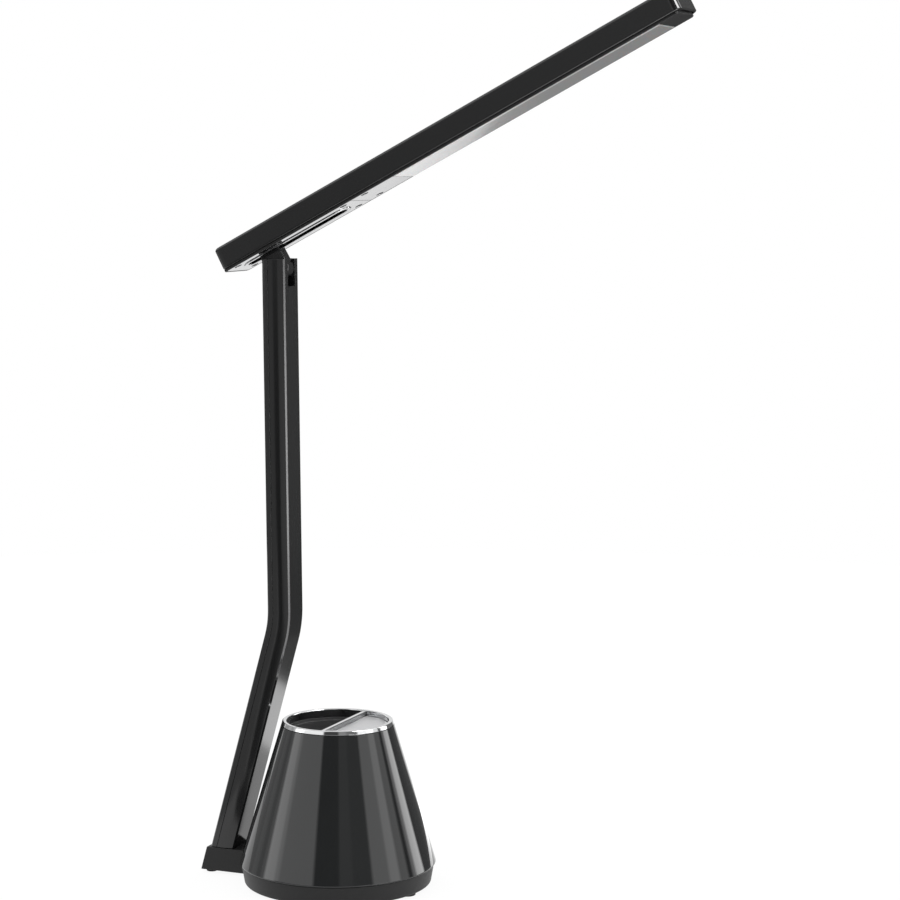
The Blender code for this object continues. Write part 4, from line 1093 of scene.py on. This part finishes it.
class LAMP_OT_head(bpy.types.Operator):
    """Make the light bar: housing, slot rim, diffuser and screws"""

    bl_idname = "lamp.head"
    bl_label = "Light bar"

    screws = tuple(f"cover_screw_{number}" for number in range(1, 7))

    def execute(self, context):
        """Cover the nodes of the light bar."""
        shapes = context.scene.lamp_shapes
        self.housing(shapes)
        self.rim(shapes)
        self.diffuser(shapes)
        add_screws(self.screws, "head", HEAD, "dark_steel")
        dress(lower_frame="matte_black", root_cover="bright_silver", board_cover="bright_silver", led_board="board")
        return {"FINISHED"}

    def housing(self, shapes):
        """The long shell: outlines from the ceiling inside, down round the lower edge and up to the rounded top."""
        low, high = extent("head_housing", HEAD)
        bottom, top, deep = low[2], high[2], high[1] * CAP_SHARE
        wall, ceiling = HEAD_WALL, top - HEAD_WALL
        corners = [(deep, ceiling), (wall, ceiling), (wall, bottom), (0.0, bottom), (0.0, top), (deep, top)]
        radii = [0.0, shapes.edge_round, shapes.fine_round, shapes.head_chamfer, shapes.head_edge, 0.0]
        profile = rounded(corners, radii, closed=False)
        grid = layered(profile, lambda inset: inset_plan(low, high, shapes.head_corner, inset))
        cover("head_housing", HEAD.world(grid), "head", "satin_black")

    def rim(self, shapes):
        """The raised rim of the slot: stadium outlines round a small section with a flange."""
        points = node_points("slot_rim", HEAD)
        low, high = points.min(0), points.max(0)
        bottom, top = low[2], high[2]
        face = points[points[:, 2] < bottom + FINE_ROUND]
        ledge = np.unique(np.round(points[:, 2], 5))[1:-1].mean()
        nose = face[(np.abs(face[:, 1]) < FINE_ROUND) & (face[:, 0] > 0.0)][:, 0]
        grown = nose.max() - nose.min()
        inner_half = face[:, 1].max() - grown
        flange = high[1] - inner_half
        back, front = low[0] + flange, high[0] - flange
        corners = [(0.0, bottom), (grown, bottom), (grown, ledge), (flange, ledge), (flange, top), (0.0, top)]
        radii = [shapes.edge_round * RIM_EDGE_SHARE] * 2 + [FINE_ROUND] * 4
        profile = rounded(corners, radii, 4, flat=FLAT / 2)
        grid = layered(profile, lambda grow: stadium(back - grow, front + grow, inner_half + grow))
        cover("slot_rim", HEAD.world(grid), "head", "bright_silver", ring=True)

    def diffuser(self, shapes):
        """The opal strip: a plate with a bevel all round its lower face."""
        low, high = extent("diffuser", HEAD)
        bottom, top, deep, fine = low[2], high[2], high[1] * CAP_SHARE, shapes.fine_round
        bevel = DIFFUSER_BEVEL
        corners = [(deep, bottom), (bevel, bottom), (0.0, bottom + bevel / 2), (0.0, top), (deep, top)]
        profile = rounded(corners, [0.0, fine, fine, fine, 0.0], closed=False)
        grid = layered(profile, lambda inset: inset_plan(low, high, 0.0, inset))
        cover("diffuser", HEAD.world(grid), "head", "opal")


# Stage

CAMERA_FROM_CUP = (0.6605, -1.4213, 0.4448)
CAMERA_AZIMUTH = math.radians(22.403)
CAMERA_PITCH = math.radians(6.327)
CAMERA_ROLL = math.radians(0.149)
FLOOR_RADIUS = 1.4
FLOOR_WHITE = 1.05
FLOOR_GLOW = 0.88
SENSOR = 36.0

# The studio as polished surfaces see it: where each card or soft box begins, in degrees round from the camera's
# side, and how bright it is
STUDIO = (
    (-180.0, 1.00, "backdrop"),
    (-156.0, 0.10, "black card"),
    (-152.0, 2.00, "left rear box"),
    (-134.0, 0.45, "left gap"),
    (-117.0, 0.62, "left wing"),
    (-107.0, 0.48, "left fold"),
    (-99.0, 0.80, "left edge"),
    (-93.0, 2.90, "left strip light"),
    (-77.0, 2.10, "left fold-out"),
    (-71.0, 1.45, "left soft box"),
    (-27.0, 0.08, "dark front"),
    (4.0, 0.38, "grey front"),
    (20.0, 0.26, "grey side"),
    (44.0, 1.65, "right soft box"),
    (66.0, 2.60, "right fold"),
    (80.0, 1.25, "right wing"),
    (93.0, 0.12, "gap"),
    (100.0, 1.60, "right card"),
    (106.0, 4.80, "right strip light"),
    (121.0, 0.20, "black card"),
    (158.0, 1.00, "backdrop"),
)
EDGE_SOFTNESS = 2.0

# Overhead the studio fades, from one height in degrees and over so many more, into one even high light
LIGHT_HEAD = 62.0
CROWN_FADE = 14.0
HIGH_LIGHT = 1.25

# Smaller cards in front of these: from and to in degrees round, foot and head in degrees up, and brightness
CARDS = (
    (-200.0, 200.0, -100.0, -1.8, 0.10, "table skirt"),
    (-100.0, -48.0, -40.0, -1.8, 0.48, "left low card"),
    (-48.0, -31.5, -40.0, -1.8, 0.05, "dark gap"),
    (-31.5, -19.0, -40.0, -1.8, 0.75, "front low card"),
    (-19.0, 8.0, -40.0, -1.8, 0.42, "grey low card"),
    (25.0, 58.0, -40.0, -1.8, 9.50, "low strip light"),
    (110.0, 150.0, -40.0, -1.8, 0.22, "right low card"),
    (-76.0, -27.0, -1.8, 8.0, 0.40, "left table"),
    (37.0, 68.0, 31.0, 42.0, 22.00, "small bright box"),
)
CARD_SOFTNESS = 0.8

# What polished surfaces see lying on the floor: from and to in degrees round, near and far edge, and brightness
SHEETS = (
    (-100.0, -50.0, 0.12, 2.0, 0.55, "left sheet"),
    (-100.0, -58.0, 0.10, 0.27, 1.10, "left near sheet"),
    (-47.0, -31.0, 0.36, 2.0, 0.06, "dark sheet"),
    (-46.0, -35.0, 0.22, 0.36, 0.06, "dark near sheet"),
    (-58.0, -44.0, 0.10, 0.22, 0.10, "dark inner sheet"),
    (-31.0, -19.0, 0.36, 2.0, 0.75, "front sheet"),
    (25.0, 58.0, 0.19, 2.0, 5.00, "bright sheet"),
    (110.0, 155.0, 0.40, 2.0, 0.18, "right sheet"),
    (110.0, 155.0, 0.28, 0.40, 0.22, "right near sheet"),
    (110.0, 180.0, 0.172, 0.28, 2.60, "white sheet"),
    (110.0, 180.0, 0.0, 0.172, 1.10, "pale sheet"),
)
SHEET_SOFTNESS = 0.004

# Where polished surfaces see the floor fade, in metres from the cup, and its brightness near and far
FLOOR_FADES_FROM = 1.27
FLOOR_FADES_TO = 1.64
FLOOR_FAR = 0.15
FLOOR_NEAR = 1.05


class LAMP_OT_stage(bpy.types.Operator):
    """Set up the floor, the light and the camera"""

    bl_idname = "lamp.stage"
    bl_label = "Stage"

    def execute(self, context):
        """Make the stage."""
        context.scene.view_settings.view_transform = "Standard"
        self.camera(context)
        self.floor(context)
        self.world(context)
        return {"FINISHED"}

    def camera(self, context):
        """The camera of the photograph."""
        data = bpy.data.cameras.new("Camera")
        data.sensor_width = SENSOR
        data.lens = context.scene.lamp_stage.lens
        camera = bpy.data.objects.new("Camera", data)
        context.scene.collection.objects.link(camera)
        forward = Vector((
            -math.sin(CAMERA_AZIMUTH) * math.cos(CAMERA_PITCH),
            math.cos(CAMERA_AZIMUTH) * math.cos(CAMERA_PITCH),
            -math.sin(CAMERA_PITCH),
        ))
        right = Vector((math.cos(CAMERA_AZIMUTH), math.sin(CAMERA_AZIMUTH), 0.0))
        up = right.cross(forward)
        rolled_right = right * math.cos(CAMERA_ROLL) + up * math.sin(CAMERA_ROLL)
        rolled_up = up * math.cos(CAMERA_ROLL) - right * math.sin(CAMERA_ROLL)
        place = Matrix((rolled_right, rolled_up, -forward)).transposed().to_4x4()
        place.translation = Vector(CUP.world(CAMERA_FROM_CUP).tolist())
        camera.matrix_world = place
        context.scene.camera = camera

    def floor(self, context):
        """A round pale floor that looks white to the camera where no shadow falls on it."""
        points = CUP.world(lathe(np.array([(FLOOR_RADIUS, 0.0)]), TURNS))[0]
        mesh = bpy.data.meshes.new("Floor")
        mesh.from_pydata(points.tolist(), [], [list(range(len(points)))])
        floor = bpy.data.objects.new("Floor", mesh)
        context.scene.collection.objects.link(floor)
        material = bpy.data.materials.new("Floor")
        nodes = Nodes(material)
        nodes.tree.nodes.clear()
        painted = nodes.out("ShaderNodeBsdfDiffuse", None, {"Color": opaque(context.scene.lamp_colours.floor)})
        inputs = {0: nodes.place(), 1: tuple(CUP.origin)}
        x, y, _ = nodes.parts(nodes.out("ShaderNodeVectorMath", {"operation": "SUBTRACT"}, inputs))
        away = (x * x + y * y).math("SQRT")
        faded = ((away - FLOOR_FADES_FROM) / (FLOOR_FADES_TO - FLOOR_FADES_FROM)).clipped()
        level = FLOOR_NEAR - faded * (FLOOR_NEAR - FLOOR_FAR)
        level = self.lay(level, self.round_from_camera(x, y), away, SHEETS, SHEET_SOFTNESS)
        seen, mirrored, through = nodes.rays()
        strength = mirrored * level + (1 - mirrored) * FLOOR_WHITE
        glow = nodes.out("ShaderNodeEmission", None, {"Color": WHITE, "Strength": strength})
        share = ((seen + through) * FLOOR_GLOW + mirrored).math("MINIMUM", 1.0)
        mixed = nodes.out("ShaderNodeMixShader", None, {0: share, 1: painted, 2: glow})
        nodes.node("ShaderNodeOutputMaterial", None, {"Surface": mixed})
        mesh.materials.append(material)

    def round_from_camera(self, x, y):
        """Degrees round from the camera's side, positive to the right as the camera sees it."""
        towards = math.atan2(-math.cos(CAMERA_AZIMUTH), math.sin(CAMERA_AZIMUTH))
        ahead = x * math.cos(towards) + y * math.sin(towards)
        beside = y * math.cos(towards) - x * math.sin(towards)
        return beside.math("ARCTAN2", ahead) * math.degrees(1.0)

    def lay(self, level, angle, height, cards, softness):
        """Lay cards over a brightness: inside a card it becomes level + share * (card - level), with soft edges."""
        for begins, ends, low, high, brightness, _ in cards:
            share = self.between(angle, begins, ends, EDGE_SOFTNESS) * self.between(height, low, high, softness)
            level = level + share * (brightness - level)
        return level

    def between(self, value, low, high, softness):
        """1 between two limits and 0 outside them, as the product of two soft steps."""
        half = softness / 2
        return value.step(low - half, low + half) * value.step(high + half, high - half)

    def world(self, context):
        """An even light for matte surfaces, white behind the lamp, and the studio's cards for polished ones."""
        world = context.scene.world = bpy.data.worlds.new("Studio")
        nodes = Nodes(world)
        nodes.tree.nodes.clear()
        x, y, z = nodes.parts(nodes.out("ShaderNodeTexCoord", output="Generated"))
        angle = self.round_from_camera(x, y)
        height = z.math("ARCSINE") * math.degrees(1.0)
        crown = ((height - LIGHT_HEAD) / CROWN_FADE).clipped()
        studio = self.studio(angle) * (1 - crown) + crown * HIGH_LIGHT
        studio = self.lay(studio, angle, height, CARDS, CARD_SOFTNESS)
        seen, mirrored, through = nodes.rays()
        plain = 1 - (seen + mirrored + through).math("MINIMUM", 1.0)
        strength = seen + through + mirrored * studio + plain * context.scene.lamp_stage.brightness
        light = nodes.out("ShaderNodeBackground", None, {"Color": WHITE, "Strength": strength})
        nodes.node("ShaderNodeOutputWorld", None, {"Surface": light})

    def studio(self, angle):
        """The brightness of the studio round the lamp, as a sum of soft steps from one card to the next."""
        total = level = STUDIO[0][1]
        for begins, brightness, _ in STUDIO[1:]:
            change = brightness - level
            total = total + angle.step(begins - EDGE_SOFTNESS, begins + EDGE_SOFTNESS) * change
            level = brightness
        return total


# Panel and registration


class LAMP_PT_panel(bpy.types.Panel):
    """Buttons and settings of the lamp"""

    bl_idname = "LAMP_PT_panel"
    bl_label = "Desk Lamp"
    bl_space_type = "VIEW_3D"
    bl_region_type = "UI"
    bl_category = "Desk Lamp"

    def draw(self, context):
        """List the operators and the settings."""
        layout = self.layout
        for operator in OPERATORS:
            layout.operator(operator.bl_idname)
        for group in (context.scene.lamp_shapes, context.scene.lamp_colours, context.scene.lamp_stage):
            box = layout.box()
            for key in group.bl_rna.properties.keys():
                if key not in ("rna_type", "name"):
                    box.prop(group, key)


OPERATORS = (LAMP_OT_stage, LAMP_OT_cup, LAMP_OT_base, LAMP_OT_arm, LAMP_OT_neck, LAMP_OT_head)
GROUPS = (LampShapes, LampColours, LampStage)


def register():
    """Register the classes and hang the settings on the scene."""
    for found in GROUPS + OPERATORS + (LAMP_PT_panel,):
        bpy.utils.register_class(found)
    bpy.types.Scene.lamp_shapes = PointerProperty(type=LampShapes)
    bpy.types.Scene.lamp_colours = PointerProperty(type=LampColours)
    bpy.types.Scene.lamp_stage = PointerProperty(type=LampStage)


def unregister():
    """Take the settings and the classes away again."""
    del bpy.types.Scene.lamp_stage
    del bpy.types.Scene.lamp_colours
    del bpy.types.Scene.lamp_shapes
    for found in reversed(GROUPS + OPERATORS + (LAMP_PT_panel,)):
        bpy.utils.unregister_class(found)


def main():
    """Make everything, in order."""
    register()
    bpy.ops.lamp.stage()
    bpy.ops.lamp.cup()
    bpy.ops.lamp.base()
    bpy.ops.lamp.arm()
    bpy.ops.lamp.neck()
    bpy.ops.lamp.head()


if __name__ == "__main__":
    main()
